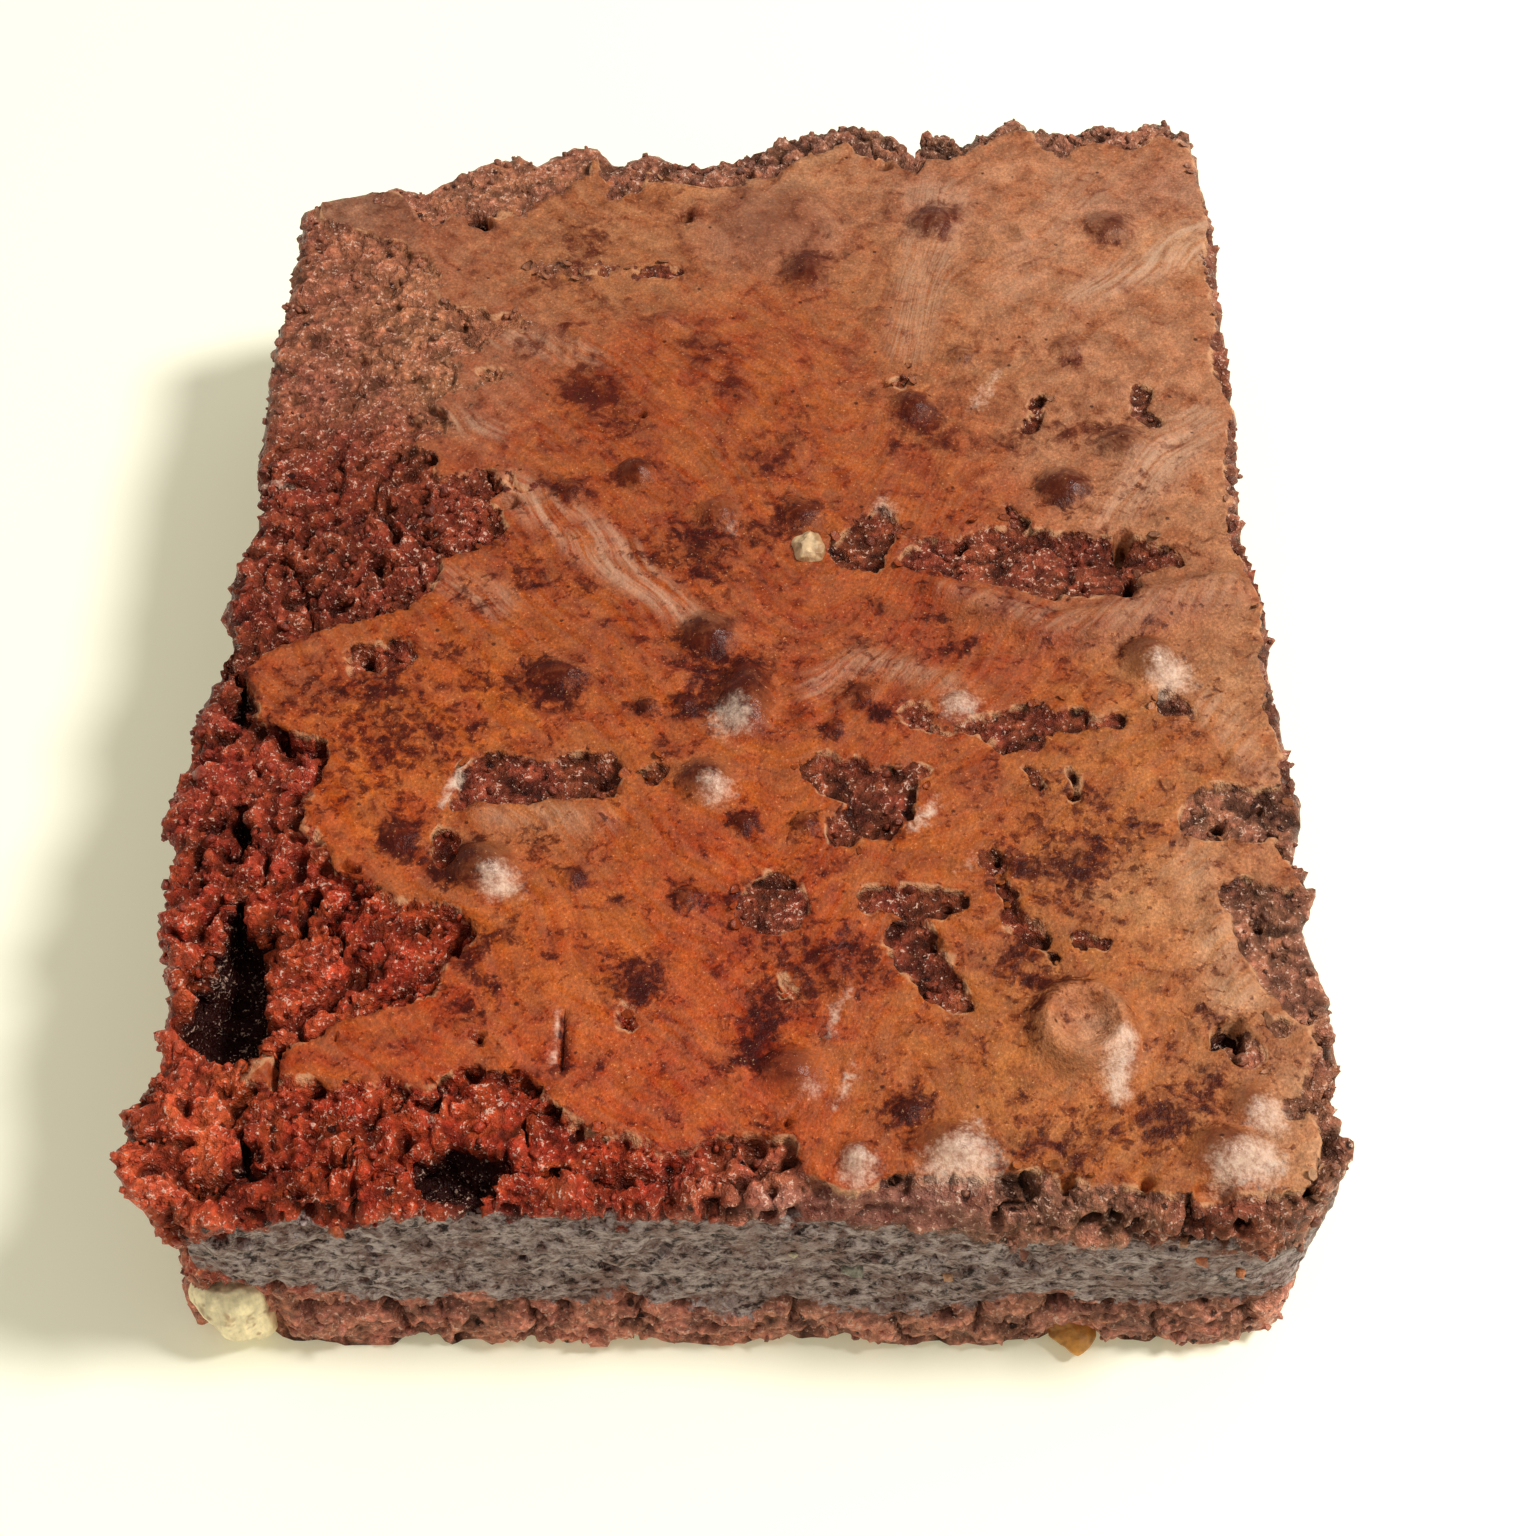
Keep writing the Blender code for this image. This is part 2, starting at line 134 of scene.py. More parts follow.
def swept(x, y, discs):
    """Distance to the outline of a row of discs (x, y, radius) joined by straight sweeps, negative inside."""
    if len(discs) == 1:
        discs = discs * 2
    found = np.full(len(x), np.inf)
    for (ax, ay, ar), (bx, by, br) in zip(discs, discs[1:]):
        dx, dy = bx - ax, by - ay
        along = np.clip(((x - ax) * dx + (y - ay) * dy) / max(dx * dx + dy * dy, 1e-9), 0, 1)
        away = np.hypot(x - ax - along * dx, y - ay - along * dy)
        found = np.minimum(found, away - ar - along * (br - ar))
    return found


def read_edge(table, along):
    """The value at each place along an edge, read from its table between points."""
    return np.interp(along, *zip(*table))


# %% [markdown]
# ## The slab's plan
# The near and right sides were cut with a knife, and the left and far sides broke. The outline is a rectangle
# with a slanted far side whose edges are pulled to their torn lines. One drawn outline would do for a flat
# top, but pulling a rectangle lets the walls, the top and the finish all use the same even grid. These are
# the same driving sizes as in the solid, so the dressed slab keeps its form.

# %% Outline of the slab
WIDTH, NEAR_Y, FAR_Y, FAR_SLANT, HEIGHT = 70.0, -48.0, 43.5, 0.135, 20.0
CORNER_RADIUS = {(-1, -1): 1.6, (1, -1): 3.6, (-1, 1): 1.8, (1, 1): 1.2}
RAGGED_REACH, AT_RIM = 7.0, 0.9999
# Edges and borders are rows of points: first the place along the side, then where the line runs there.
LEFT_EDGE = [
    (-48.5, -34.6), (-46, -36.3), (-43, -37.2), (-40.5, -36.6), (-38.5, -35.4), (-33, -35.7), (-28, -36.4),
    (-24, -36), (-20, -37), (-16, -36.7), (-12, -36.3), (-8, -35.8), (-6.5, -34.9), (-1.5, -35.6),
    (5, -34.6), (12, -35.3), (22, -35.7), (30, -35), (39, -34.8),
]
RIGHT_EDGE = [
    (-48, 34.6), (-44.5, 35.9), (-41, 35.4), (-38, 36.2), (-33.5, 36), (-28.5, 35.2), (-26, 36.3),
    (-23.5, 35.2), (-20.5, 36.2), (-11, 35.9), (-8, 35.5), (-3.5, 36), (5, 35), (15, 35.8), (27, 35.9),
    (35, 36.5), (42, 36.1), (48, 35.9),
]
FAR_EDGE = [
    (-35, 38.4), (-30, 39.8), (-28, 41.3), (-25.5, 40.2), (-23, 43), (-18.5, 45), (-17, 43.7), (-14, 46),
    (-12.2, 46), (-10.9, 43.9), (-8, 45), (-3, 43.9), (1.5, 46), (4.7, 47.4), (7.8, 49), (11.5, 47),
    (13.4, 44), (14.3, 47.2), (17, 46.2), (21.5, 49), (25, 47.2), (28, 48.3), (31, 47.6), (33, 48.9),
    (35.5, 48),
]
NEAR_EDGE = [
    (-35, -47.6), (-31, -48.6), (-26, -48.2), (-17, -47.9), (-5, -48), (6, -47.9), (18, -48.3), (28, -48.6),
    (33, -48),
]
print("slab:", WIDTH, "mm wide,", FAR_Y - NEAR_Y, "mm deep at its middle,", HEIGHT, "mm high")


def far_line(x):
    """Where the slanted far side would run if it weren't torn."""
    return FAR_Y + FAR_SLANT * x


def plan_of(u, v):
    """Where a point of the square from -1 to 1 lands on the plan, and which way is outwards there.

    The square's corners are bent to quarter discs: on a corner's own axes s and t, a point moves to
    s * sqrt(1 - t * t / 2) and t * sqrt(1 - s * s / 2).
    """
    half = WIDTH / 2
    x, length = u * half, far_line(u * half) - NEAR_Y
    y = NEAR_Y + (v + 1) / 2 * length
    out_x, out_y = np.where(abs(u) > AT_RIM, u, 0.0), np.where(abs(v) > AT_RIM, v, 0.0)
    for (side_x, side_y), radius in CORNER_RADIUS.items():
        over_x = (x * side_x - (half - radius)) / radius
        edge_y = (y - NEAR_Y) if side_y < 0 else (far_line(x) - y)
        over_y = (radius - edge_y) / radius
        inside = (over_x > 0) & (over_y > 0)
        s, t = np.clip(over_x, 0, 1), np.clip(over_y, 0, 1)
        x = np.where(inside, side_x * (half - radius + radius * s * np.sqrt(1 - t * t / 2)), x)
        y = np.where(inside, y + side_y * radius * (t * np.sqrt(1 - s * s / 2) - t), y)
        rim = inside & ((s > AT_RIM) | (t > AT_RIM))
        out_x, out_y = np.where(rim, side_x * s, out_x), np.where(rim, side_y * t, out_y)
    size = np.maximum(np.hypot(out_x, out_y), 1e-9)
    return x, y, out_x / size, out_y / size


def ragged_pull(x, y, strength):
    """How far each plan point is pulled in X and Y by the torn edges near it."""
    half = WIDTH / 2
    left = (read_edge(LEFT_EDGE, y) + half) * (1 - ease(0, RAGGED_REACH, x + half))
    right = (read_edge(RIGHT_EDGE, y) - half) * (1 - ease(0, RAGGED_REACH, half - x))
    far = (read_edge(FAR_EDGE, x) - far_line(x)) * (1 - ease(0, RAGGED_REACH, far_line(x) - y))
    near = (read_edge(NEAR_EDGE, x) - NEAR_Y) * (1 - ease(0, RAGGED_REACH, y - NEAR_Y))
    return (left + right) * strength, (far + near) * strength


def rim_distance(x, y):
    """Distance inwards from the nearest edge of the top."""
    sides = (
        x - read_edge(LEFT_EDGE, y), read_edge(RIGHT_EDGE, y) - x,
        read_edge(FAR_EDGE, x) - y, y - read_edge(NEAR_EDGE, x),
    )
    return np.maximum(np.minimum.reduce(sides), 0)


# %% [markdown]
# ## Where the skin is gone
# A brownie's top dries to a thin papery skin. It is missing along the torn edges, where bubbles burst, and
# where the knife dragged it off. Cutting holes in a thin shell would leave open edges. Here two border lines,
# two bands and a list of swept discs give the distance to the nearest bare crumb. The finish and the relief
# both read that one distance, so they always agree.

# %% Bare crumb
LEFT_DEPTH = [(-44, 1.1), (-30, 1.0), (-12, 0.9), (-4, 0.75), (10, 0.55), (36, 0.25)]
NEAR_DEPTH, FAR_DEPTH, RIGHT_DEPTH = 0.8, 0.55, 0.45
CRATER_SHARE, TEAR, LEFT_SLANT = 0.62, (0.12, -0.28), 0.75
LEFT_BORDER = [
    (-48, -28.5), (-40.2, -28.8), (-38.6, -28.2), (-36.8, -26.4), (-35.4, -22.6), (-34.4, -18.4),
    (-31, -16.6), (-29, -17.5), (-27.5, -20), (-26.5, -22.5), (-24.5, -25.5), (-22, -27.6), (-19, -29),
    (-17, -28.5), (-14.8, -28.6), (-13, -32.6), (-9, -33.4), (-6.5, -31), (-5, -27), (-3.6, -23.5),
    (0.5, -22), (2.5, -19), (4, -16), (6.5, -18.8), (8, -17.5), (10, -21), (13, -23), (15.5, -20.5),
    (20, -22), (24, -19.5), (27, -20.5), (30, -23.5), (33, -27.5), (36, -31.5), (39, -35), (42, -36.5),
]
NEAR_BORDER = [
    (-36, -39.5), (-28, -40), (-22, -40.2), (-17, -39.6), (-12, -41.6), (-8, -43), (-5, -44.1), (0, -43.6),
    (3, -44.6), (5, -46), (8, -46.7), (28, -47.2), (36, -46.6),
]
FAR_BAND = [(-35, 0.8), (-27, 1.2), (-22, 6), (-10, 4.6), (0, 3.8), (12, 3.4), (36, 2.4)]
RIGHT_BAND = [(-48, 2.2), (-40, 1.5), (-24, 1), (-10, 0.9), (10, 0.7), (30, 0.6), (48, 0.6)]
# Each crater is a depth, which CRATER_SHARE scales, and its discs as x, y and radius.
CRATERS = [
    (0.95, [(-16.5, -17.8, 2.1), (-13, -17.8, 1.8), (-9.7, -17.5, 1.8)]),
    (0.95, [(-18.2, -19.6, 0.5), (-16.5, -18.6, 1.2)]), (0.8, [(-6.1, -17.9, 0.5), (-5.6, -17.2, 0.4)]),
    (0.8, [(-19, -22.6, 0.8), (-18.9, -24, 0.6)]),
    (1, [(4.9, -17.2, 1.3), (7.3, -18.6, 1.8), (9.6, -18.9, 1.5)]),
    (1, [(7, -21.6, 1.5), (8.8, -20.4, 1.7)]), (0.6, [(9.8, -18, 0.6), (11.7, -17.3, 0.15)]),
    (0.9, [(11.5, -12.7, 1), (12.4, -14, 0.5), (13.4, -14.5, 0.35)]),
    (0.9, [(14, -13.8, 0.4), (16, -13.9, 1), (18, -13.3, 1.3), (21.5, -13.3, 1.3), (23.3, -13.5, 0.5),
         (24.8, -13, 0.55)]), (0.7, [(17, -15.2, 0.6), (19.5, -14.9, 0.5)]),
    (1, [(8, 1.8, 1.9), (9.5, 4.2, 1.2)]), (0.9, [(10.8, 3.9, 0.35), (13, 2.2, 0.3)]),
    (1, [(11.3, 1.4, 0.8), (14, 1.2, 1.4), (17.5, 1.5, 2.6), (21.5, 0.8, 3.2), (24.5, 0.2, 2.8),
         (26.8, 1, 1.8), (29.3, 0.9, 0.9)]), (0.8, [(18.3, 6.2, 0.2), (19.6, 4.4, 0.35)]),
    (0.8, [(26.4, -1, 0.9), (25.8, -2.2, 0.5)]), (0.45, [(1.8, -27.5, 2.2)]),
    (0.9, [(8.2, -27.2, 1), (10.3, -27.8, 1.4), (13, -27.6, 1)]),
    (0.95, [(10.3, -29.6, 1.6), (11.5, -32.3, 1.6), (13.2, -34.6, 1.1)]),
    (0.9, [(15.9, -24, 0.7), (16.3, -26.4, 0.5), (17, -28.4, 0.9), (18.1, -29.9, 1.2)]),
    (0.7, [(19.3, -31.5, 0.3)]), (0.7, [(21, -30.1, 0.45), (22.2, -30.6, 0.35)]),
    (0.7, [(28.4, -11.8, 0.9), (29.7, -12.4, 0.6)]),
    (0.8, [(30, -20.9, 2.1), (32, -20.7, 2.2), (34.6, -20.8, 1.9)]),
    (0.85, [(31.6, -27, 1.3), (32.8, -28.5, 2.2), (33.6, -32, 2.4), (34.8, -34.6, 1.6)]),
    (1.1, [(-26, -7.9, 1.2), (-23.8, -7.4, 1.3)]), (0.8, [(29, -36.9, 0.8), (30.6, -38.3, 0.9)]),
    (0.6, [(32.7, -36.4, 0.6)]), (0.6, [(33, -42.2, 0.6)]), (0.7, [(-16.2, -37.2, 0.7), (-15.4, -38, 0.6)]),
    (0.5, [(-7.4, -35, 0.3), (-7, -36.2, 0.45)]), (0.6, [(11.3, 18.3, 0.4), (12.9, 19.3, 0.3)]),
    (0.8, [(21.4, 16.6, 0.6), (20.8, 14, 0.6)]),
    (0.6, [(29, 17.2, 0.5), (28.7, 15.2, 0.45), (29.6, 13.8, 0.5)]),
    (0.7, [(-16.9, 8.9, 0.35), (-16.5, 7.8, 0.5), (-15.4, 7.6, 0.3)]),
    (0.55, [(-15.7, 30.3, 0.5), (-10.9, 30.2, 0.4)]), (0.55, [(-8.5, 30.3, 0.35), (-5.9, 30.1, 0.5)]),
    (0.6, [(-17.2, 3, 0.3), (-16, 2.4, 0.3)]), (0.45, [(18.9, -17.6, 0.35), (19.2, -19.3, 0.4)]),
    (0.55, [(21.3, -17.5, 0.4), (21.6, -19.6, 0.45)]), (0.5, [(2, -32.2, 0.45), (3.2, -34.2, 0.3)]),
    (0.4, [(-15.4, -43, 1.6), (-9, -44.4, 1)]),
]
RING_OF_SKIN = (-15.5, -32.0, 1.7)
print(len(CRATERS), "craters")


def half_bare(x, y):
    """Where the skin is broken to flakes rather than gone, so that its border is patchy: the far left."""
    return ease(2, 14, y) * ease(2, -14, x)


def bare_ground(x, y):
    """Distance to the nearest bare crumb, negative on it, how deep the crumb lies, and 1 in a burst bubble.

    Every border and crater gives a distance; a wandering noise frays it; the least distance wins,
    and the depth is that of the deepest ground that a point lies on. The left border runs aslant, so its
    gap along x is turned to a distance by LEFT_SLANT.
    """
    place = flat(x, y)
    fray = waver(place, (0.40, 1.9, 61), (0.32, 0.95, 62), (0.22, 0.48, 63))
    broken_up = half_bare(x, y)
    edge_fray = fray + (1.2 + 1.2 * broken_up) * drift(place, 3.1, 64)
    edge_fray += broken_up * 1.4 * drift(place, 1.5, 66)
    grounds = [
        (read_edge(LEFT_DEPTH, y), LEFT_SLANT * (x - read_edge(LEFT_BORDER, y)) + edge_fray),
        (NEAR_DEPTH, y - read_edge(NEAR_BORDER, x) + edge_fray * 0.9),
        (FAR_DEPTH, read_edge(FAR_EDGE, x) - read_edge(FAR_BAND, x) - y + edge_fray),
        (RIGHT_DEPTH, read_edge(RIGHT_EDGE, y) - read_edge(RIGHT_BAND, y) - x + edge_fray * 0.6),
    ]
    craters = [(depth * CRATER_SHARE, swept(x, y, discs) + fray) for depth, discs in CRATERS]
    distance, depth, cratered = np.full(len(x), 9.0), np.zeros(len(x)), np.zeros(len(x))
    for deep, away in grounds + craters:
        distance = np.minimum(distance, away)
        depth = np.maximum(depth, deep * ease(*TEAR, away))
    for deep, away in craters:
        cratered = np.maximum(cratered, ease(*TEAR, away))
    ring = swept(x, y, [RING_OF_SKIN]) + fray
    kept = ease(0.3, -0.1, ring)
    return np.where(ring < -distance, -ring, distance), depth * (1 - 0.8 * kept), cratered


# %% [markdown]
# ## Holes
# Gas left round channels in the crumb, and some show as black holes. Each is a narrow well in the top: flat
# at the rim and falling steeply, and the finish paints it darker with its depth, as painted shade. A boolean
# cut could reach under the surface, but a well stays part of the one height and needs no clean-up. The large
# cavities are wells too.

# %% Wells
# Each well is a depth, and its discs as x, y and radius.
WELLS = [
    (4.8, [(-32, -26.2, 0.5), (-31.8, -28.6, 1.2), (-31.3, -32, 2.2), (-31.6, -35.6, 2.7),
         (-30.7, -37.3, 1.8)]), (2.6, [(-33.6, -33.5, 0.7), (-33.8, -36.3, 0.9)]),
    (3.6, [(-17.3, -46, 2.3), (-16.5, -46.3, 2.3)]), (2.2, [(-20, -45.4, 0.45), (-20.1, -46.4, 0.3)]),
    (2.6, [(-29.5, -41.6, 0.3), (-29.6, -43.5, 0.45), (-29.1, -46, 0.25)]),
    (2.4, [(-28.1, -38.6, 0.35), (-27.9, -40.6, 0.35)]),
    (2.8, [(-27.3, -26.6, 0.5), (-27.6, -28, 0.35), (-27.4, -29.4, 0.5)]), (1.8, [(-25.6, -29.2, 0.45)]),
    (2.2, [(-32.2, -15.4, 0.3), (-32, -16.6, 0.6)]),
    (2.6, [(-32.6, -20, 0.35), (-32.1, -21.4, 0.75), (-32.2, -22.6, 0.35)]), (1.8, [(-30.2, -21.6, 0.4)]),
    (2, [(-32.6, -24.3, 0.5)]), (2.2, [(-33.9, -9.3, 0.5), (-33.5, -10.8, 0.7), (-34.4, -12.2, 0.6)]),
    (2.6, [(-21.2, 36.6, 0.9), (-20.7, 36, 0.7)]), (1.6, [(-20, -41.2, 0.35)]),
    (1.5, [(-12.9, -42.6, 0.2), (-12.6, -44.2, 0.25)]), (1.5, [(-11.6, -46, 0.25), (-10.4, -46.1, 0.3)]),
    (1.4, [(-25.3, -24.9, 0.4), (-24.6, -25.1, 0.3)]),
    (1.2, [(-23.8, -32.8, 0.25), (-23.6, -33.6, 0.3), (-24.1, -34.3, 0.2)]), (1.2, [(-21.4, -34.7, 0.3)]),
    (1.6, [(-9.4, -18, 0.42)]), (1.2, [(-13.2, -17.1, 0.28)]), (1, [(-14.7, -17.7, 0.26)]),
    (1.3, [(9.3, -21.2, 0.3)]), (1.4, [(17.3, -15.6, 0.32)]), (0.9, [(17.2, -13.8, 0.22)]),
    (2.4, [(7.3, 0.7, 0.5)]), (2.2, [(15, 2.5, 0.42), (15.5, 2.8, 0.25)]),
    (3, [(26.5, 2.9, 0.6), (26.2, 2, 0.5)]), (1.6, [(22.9, 1.3, 0.32)]), (1.8, [(23.3, -1, 0.42)]),
    (1.6, [(20.4, 2.8, 0.42)]), (1.8, [(26.7, -0.6, 0.3), (26.3, -2.4, 0.4)]), (1, [(18.5, 3, 0.25)]),
    (1, [(17, 1.7, 0.25)]), (1.4, [(9.8, -28.1, 0.26)]), (2, [(12.8, -27.5, 0.4)]),
    (2, [(12, -30.4, 0.38)]), (1.2, [(13.3, -31.8, 0.3)]), (1.4, [(16.2, -24.2, 0.5)]),
    (1.5, [(30.5, -21.3, 0.55)]), (1.2, [(33.5, -19.8, 0.5)]), (1.4, [(32.3, -29, 0.42)]),
    (0.9, [(33.6, -31.2, 0.28)]), (1.6, [(28.5, -37.6, 0.5), (29.9, -36.2, 0.6), (30, -37.8, 0.5)]),
    (1.6, [(-25.7, -7.4, 0.65), (-25.3, -8.3, 0.3)]), (1.6, [(-24.4, -6.4, 0.5)]),
    (1.6, [(-15.8, -37.3, 0.32)]), (1, [(-24.6, -37.3, 0.28)]), (1.2, [(10.1, 18.1, 0.4)]),
    (1.4, [(-7.6, 15, 0.5), (-8.1, 14.9, 0.3)]), (1.6, [(-16.7, 6.4, 0.55)]), (1.8, [(-25.5, 6.4, 0.5)]),
    (1.2, [(-24.6, 0.9, 0.4)]), (1.2, [(-28, -1.1, 0.3)]), (1, [(2, 16.2, 0.28)]),
    (1.2, [(-4.8, 36.7, 0.6)]), (0.9, [(0, 42.4, 0.5)]), (1.4, [(10.8, 42.6, 0.7)]),
    (0.9, [(6, 34.2, 0.28)]), (0.9, [(7.2, 36, 0.28)]), (1.4, [(21.3, -19.4, 0.35)]),
    (1.2, [(-7.1, -36.2, 0.3)]), (1.4, [(-10.8, -35.6, 0.12), (-10.9, -37.6, 0.22), (-10.8, -39.5, 0.08)]),
    (1, [(-33.3, 3.6, 0.35), (-33.1, 2.4, 0.25)]),
    (1.1, [(-33.3, 8, 0.5), (-31.5, 9, 0.3), (-29.6, 10.6, 0.5)]),
    (0.8, [(-28.8, 21.6, 0.3), (-29, 18.6, 0.35), (-29.1, 15.8, 0.15)]), (0.8, [(-32, 14.8, 0.3)]),
    (0.8, [(-25.4, 11.6, 0.3), (-24.8, 10.2, 0.25)]), (0.8, [(-33.8, 11.6, 0.45), (-32.8, 13, 0.3)]),
    (0.8, [(-30.9, 1.6, 0.2)]), (0.8, [(-22, -1, 0.3)]), (0.9, [(-18.4, 15.4, 0.3)]),
    (1.6, [(1.8, -47, 0.6)]), (1.8, [(19, -46.8, 0.5)]), (1.8, [(23.6, -46.8, 0.45)]),
    (2, [(26.8, -47.4, 0.7), (28.4, -47.6, 0.6)]), (1.2, [(2.7, -42.7, 0.3)]),
]
print(len(WELLS), "wells")


def wells(x, y):
    """Depth of the holes below the surface round them: steep bowls with frayed outlines.

    A bowl is shallower beside the slab's rim, so that none breaks through a wall.
    """
    fray = waver(flat(x, y), (0.16, 0.6, 71), (0.22, 1.6, 72))
    depth = np.zeros(len(x))
    for deep, discs in WELLS:
        width = max(radius for _, _, radius in discs)
        inside = -(swept(x, y, discs) + fray * min(1.0, width / 0.6))
        depth = np.maximum(depth, deep * ease(-0.1, 0.32 * width + 0.28, inside))
    return depth * (0.3 + 0.7 * ease(0, 2.4, rim_distance(x, y)))


# %% [markdown]
# ## Blisters, folds and dents
# Gas lifted the skin into round blisters before it set, and the batter's flow left folds in it. They could be
# sculpted, but as lists of places and heights each can be corrected alone. A blister is a dome that meets the
# skin with a soft foot, and a fold is a low ridge along a swept line.

# %% Domes and ridges
# A blister is x, y, half its width, half its length and its rise. A ring is x, y, radius and rise.
BLISTERS = [
    (-16.6, -24.8, 2.5, 2.1, 1.05), (-2.4, -5.6, 2.3, 2.2, 0.85), (0.2, -11.4, 2.1, 3.7, 1),
    (-2.6, -18, 2.1, 1.9, 0.85), (27.3, -8, 2.1, 2.1, 1.05), (3, -39.4, 2.1, 1.9, 0.85),
    (-10.8, -25.6, 1, 1, 0.4), (-3.5, -27, 1.1, 1, 0.35), (0, -21.5, 0.9, 0.9, 0.35),
    (4, -21.5, 1.1, 1.1, 0.4), (-12.5, -9.3, 2.3, 1.2, 0.5), (-6.4, -11.9, 0.9, 0.9, 0.35),
    (-4, -11.7, 0.9, 0.9, 0.35), (8, -10.8, 1.5, 0.9, 0.35), (6, -13.7, 0.9, 0.9, 0.35),
    (-7.8, 9.2, 1.6, 1.6, 0.8), (-2, 5.4, 1.7, 1.6, 0.6), (4, 5.4, 1.9, 1.6, 0.5), (22.6, 8, 2.4, 2, 0.8),
    (27.2, 12, 2, 1.9, 0.7), (12.2, 15.9, 1.9, 1.6, 0.6), (27, 17.5, 1.3, 1.2, 0.4),
    (24, 22, 1.6, 1.4, 0.45), (16, 21, 1.4, 1.2, 0.4), (14.5, 35.6, 2.3, 2.1, 0.6),
    (28.2, 35.3, 2.2, 2, 0.55), (4.5, 30, 2, 3, 0.6), (2.2, 36, 5.6, 5.8, 0.45),
    (-12.5, 7.6, 1.2, 1.2, 0.35), (-22, -22.4, 1.5, 1.3, 0.35), (6.8, -45.2, 1.4, 1.3, 0.8),
    (12.2, -44.4, 2.7, 1.8, 0.9), (28.4, -44.9, 2.6, 2, 1), (30.2, -41.8, 1.7, 1.7, 0.6),
    (14.3, -11.6, 1.5, 1, 0.45), (-19.5, 10.8, 1.2, 1.2, 0.3), (9.8, -42, 1.1, 0.9, 0.25),
    (-6.2, 25, 1.5, 1.2, 0.3), (10, 25, 1.6, 1.4, 0.3),
]
RING_DOMES = [(20.7, -36.6, 3, 1.4), (20, 33.7, 1.7, 0.4), (32.8, -15.9, 1.2, 0.22), (-13.6, 23, 1.6, 0.35)]
# Each fold is a rise, and its discs as x, y and half its width.
RIDGES = [
    (0.8, [(13, -1.5, 0.7), (16, -3, 1.2), (20, -5.2, 1.4), (24, -5.2, 1.4), (28, -3.4, 1.4),
         (33, -1.8, 1.2)]),
    (0.35, [(4.4, -9.6, 0.5), (7, -8.1, 0.7), (9.5, -8.1, 0.7), (12, -9, 0.6), (15, -10.2, 0.4)]),
    (0.25, [(4.4, -9.6, 0.5), (4, -12, 0.5), (4.5, -14.5, 0.4)]),
    (0.3, [(24, 26, 0.6), (29, 29.2, 0.8), (35, 34, 0.8)]),
    (0.35, [(-16, -8, 0.5), (-12, -8.2, 0.6), (-8, -9.2, 0.5), (-4, -9.6, 0.4)]),
    (0.4, [(-17, -20.6, 0.6), (-13, -20.4, 0.8), (-9.5, -21, 0.6)]),
    (0.3, [(23.5, 4, 0.4), (27, 9, 0.6), (30.5, 13.5, 0.5)]),
    (0.25, [(26, 3.5, 0.3), (30, 8, 0.5), (34, 13, 0.5)]),
    (0.35, [(29.4, -24.4, 0.4), (29.6, -29, 0.7), (30.4, -34, 0.6)]),
    (0.25, [(32, -7, 0.3), (33.5, -8.2, 0.4), (35, -7.6, 0.3)]),
    (0.25, [(8.6, -27, 0.2), (5, -30, 0.5), (6.5, -35, 0.4)]),
]
print(len(BLISTERS), "blisters,", len(RIDGES), "folds")

BLISTER_GAIN, BLISTER_POWER = 1.25, 1.3
RING_CREST, RING_WIDTH, BUTTON_SHARE, BUTTON_WIDTH = 0.78, 0.3, 0.35, 0.7


def skin_forms(x, y):
    """Height of all the skin's forms, and of the domes alone: a dome is a power of 1 - r * r.

    A ring dome is a bell curve round its crest, with a lower one in its middle.
    """
    domes = np.zeros(len(x))
    for cx, cy, across, along, rise in BLISTERS:
        away = np.clip(((x - cx) / across) ** 2 + ((y - cy) / along) ** 2, 0, 1)
        domes += BLISTER_GAIN * rise * (1 - away) ** BLISTER_POWER
    height = domes.copy()
    for cx, cy, radius, rise in RING_DOMES:
        away = np.hypot(x - cx, y - cy) / radius
        button = BUTTON_SHARE * np.exp(-((away / BUTTON_WIDTH) ** 2))
        height += rise * (np.exp(-(((away - RING_CREST) / RING_WIDTH) ** 2)) + button)
    for rise, discs in RIDGES:
        height += rise * ease(0.9, -0.9, swept(x, y, discs))
    return height, domes


# %% [markdown]
# ## The height of the top
# The level of the batter, less the rounding at the rim, less the bare ground and the wells, plus the skin's
# own forms. Sculpting would give the same shapes, but as one sum each part can be changed alone. Round each
# crater the skin curls up a little as it dries, so the rim gets a thin raised lip.

# %% Height of the top
EDGE_ROUNDING = 1.1
SWELL_SIZE, SWELL_RISE = 17.0, 0.35
LIP_RISE, LIP_WIDTH = 0.13, 0.45
FORMS_ON_CRUMB = 0.35


def top_height(x, y):
    """Height of the top, with the distance to bare crumb, its depth, burst bubbles and the wells' depth."""
    inward = np.clip(EDGE_ROUNDING - rim_distance(x, y), 0, EDGE_ROUNDING)
    drop = EDGE_ROUNDING - np.sqrt(np.maximum(EDGE_ROUNDING**2 - inward**2, 0))
    height = HEIGHT - drop + SWELL_RISE * drift(flat(x, y), SWELL_SIZE, 4)
    distance, depth, cratered = bare_ground(x, y)
    well = wells(x, y)
    skin = ease(-0.1, 0.2, distance)
    height += skin_forms(x, y)[0] * (FORMS_ON_CRUMB + (1 - FORMS_ON_CRUMB) * skin) - depth - well
    height += LIP_RISE * skin * np.exp(-np.maximum(distance, 0) / LIP_WIDTH)
    return height, distance, depth, cratered, well


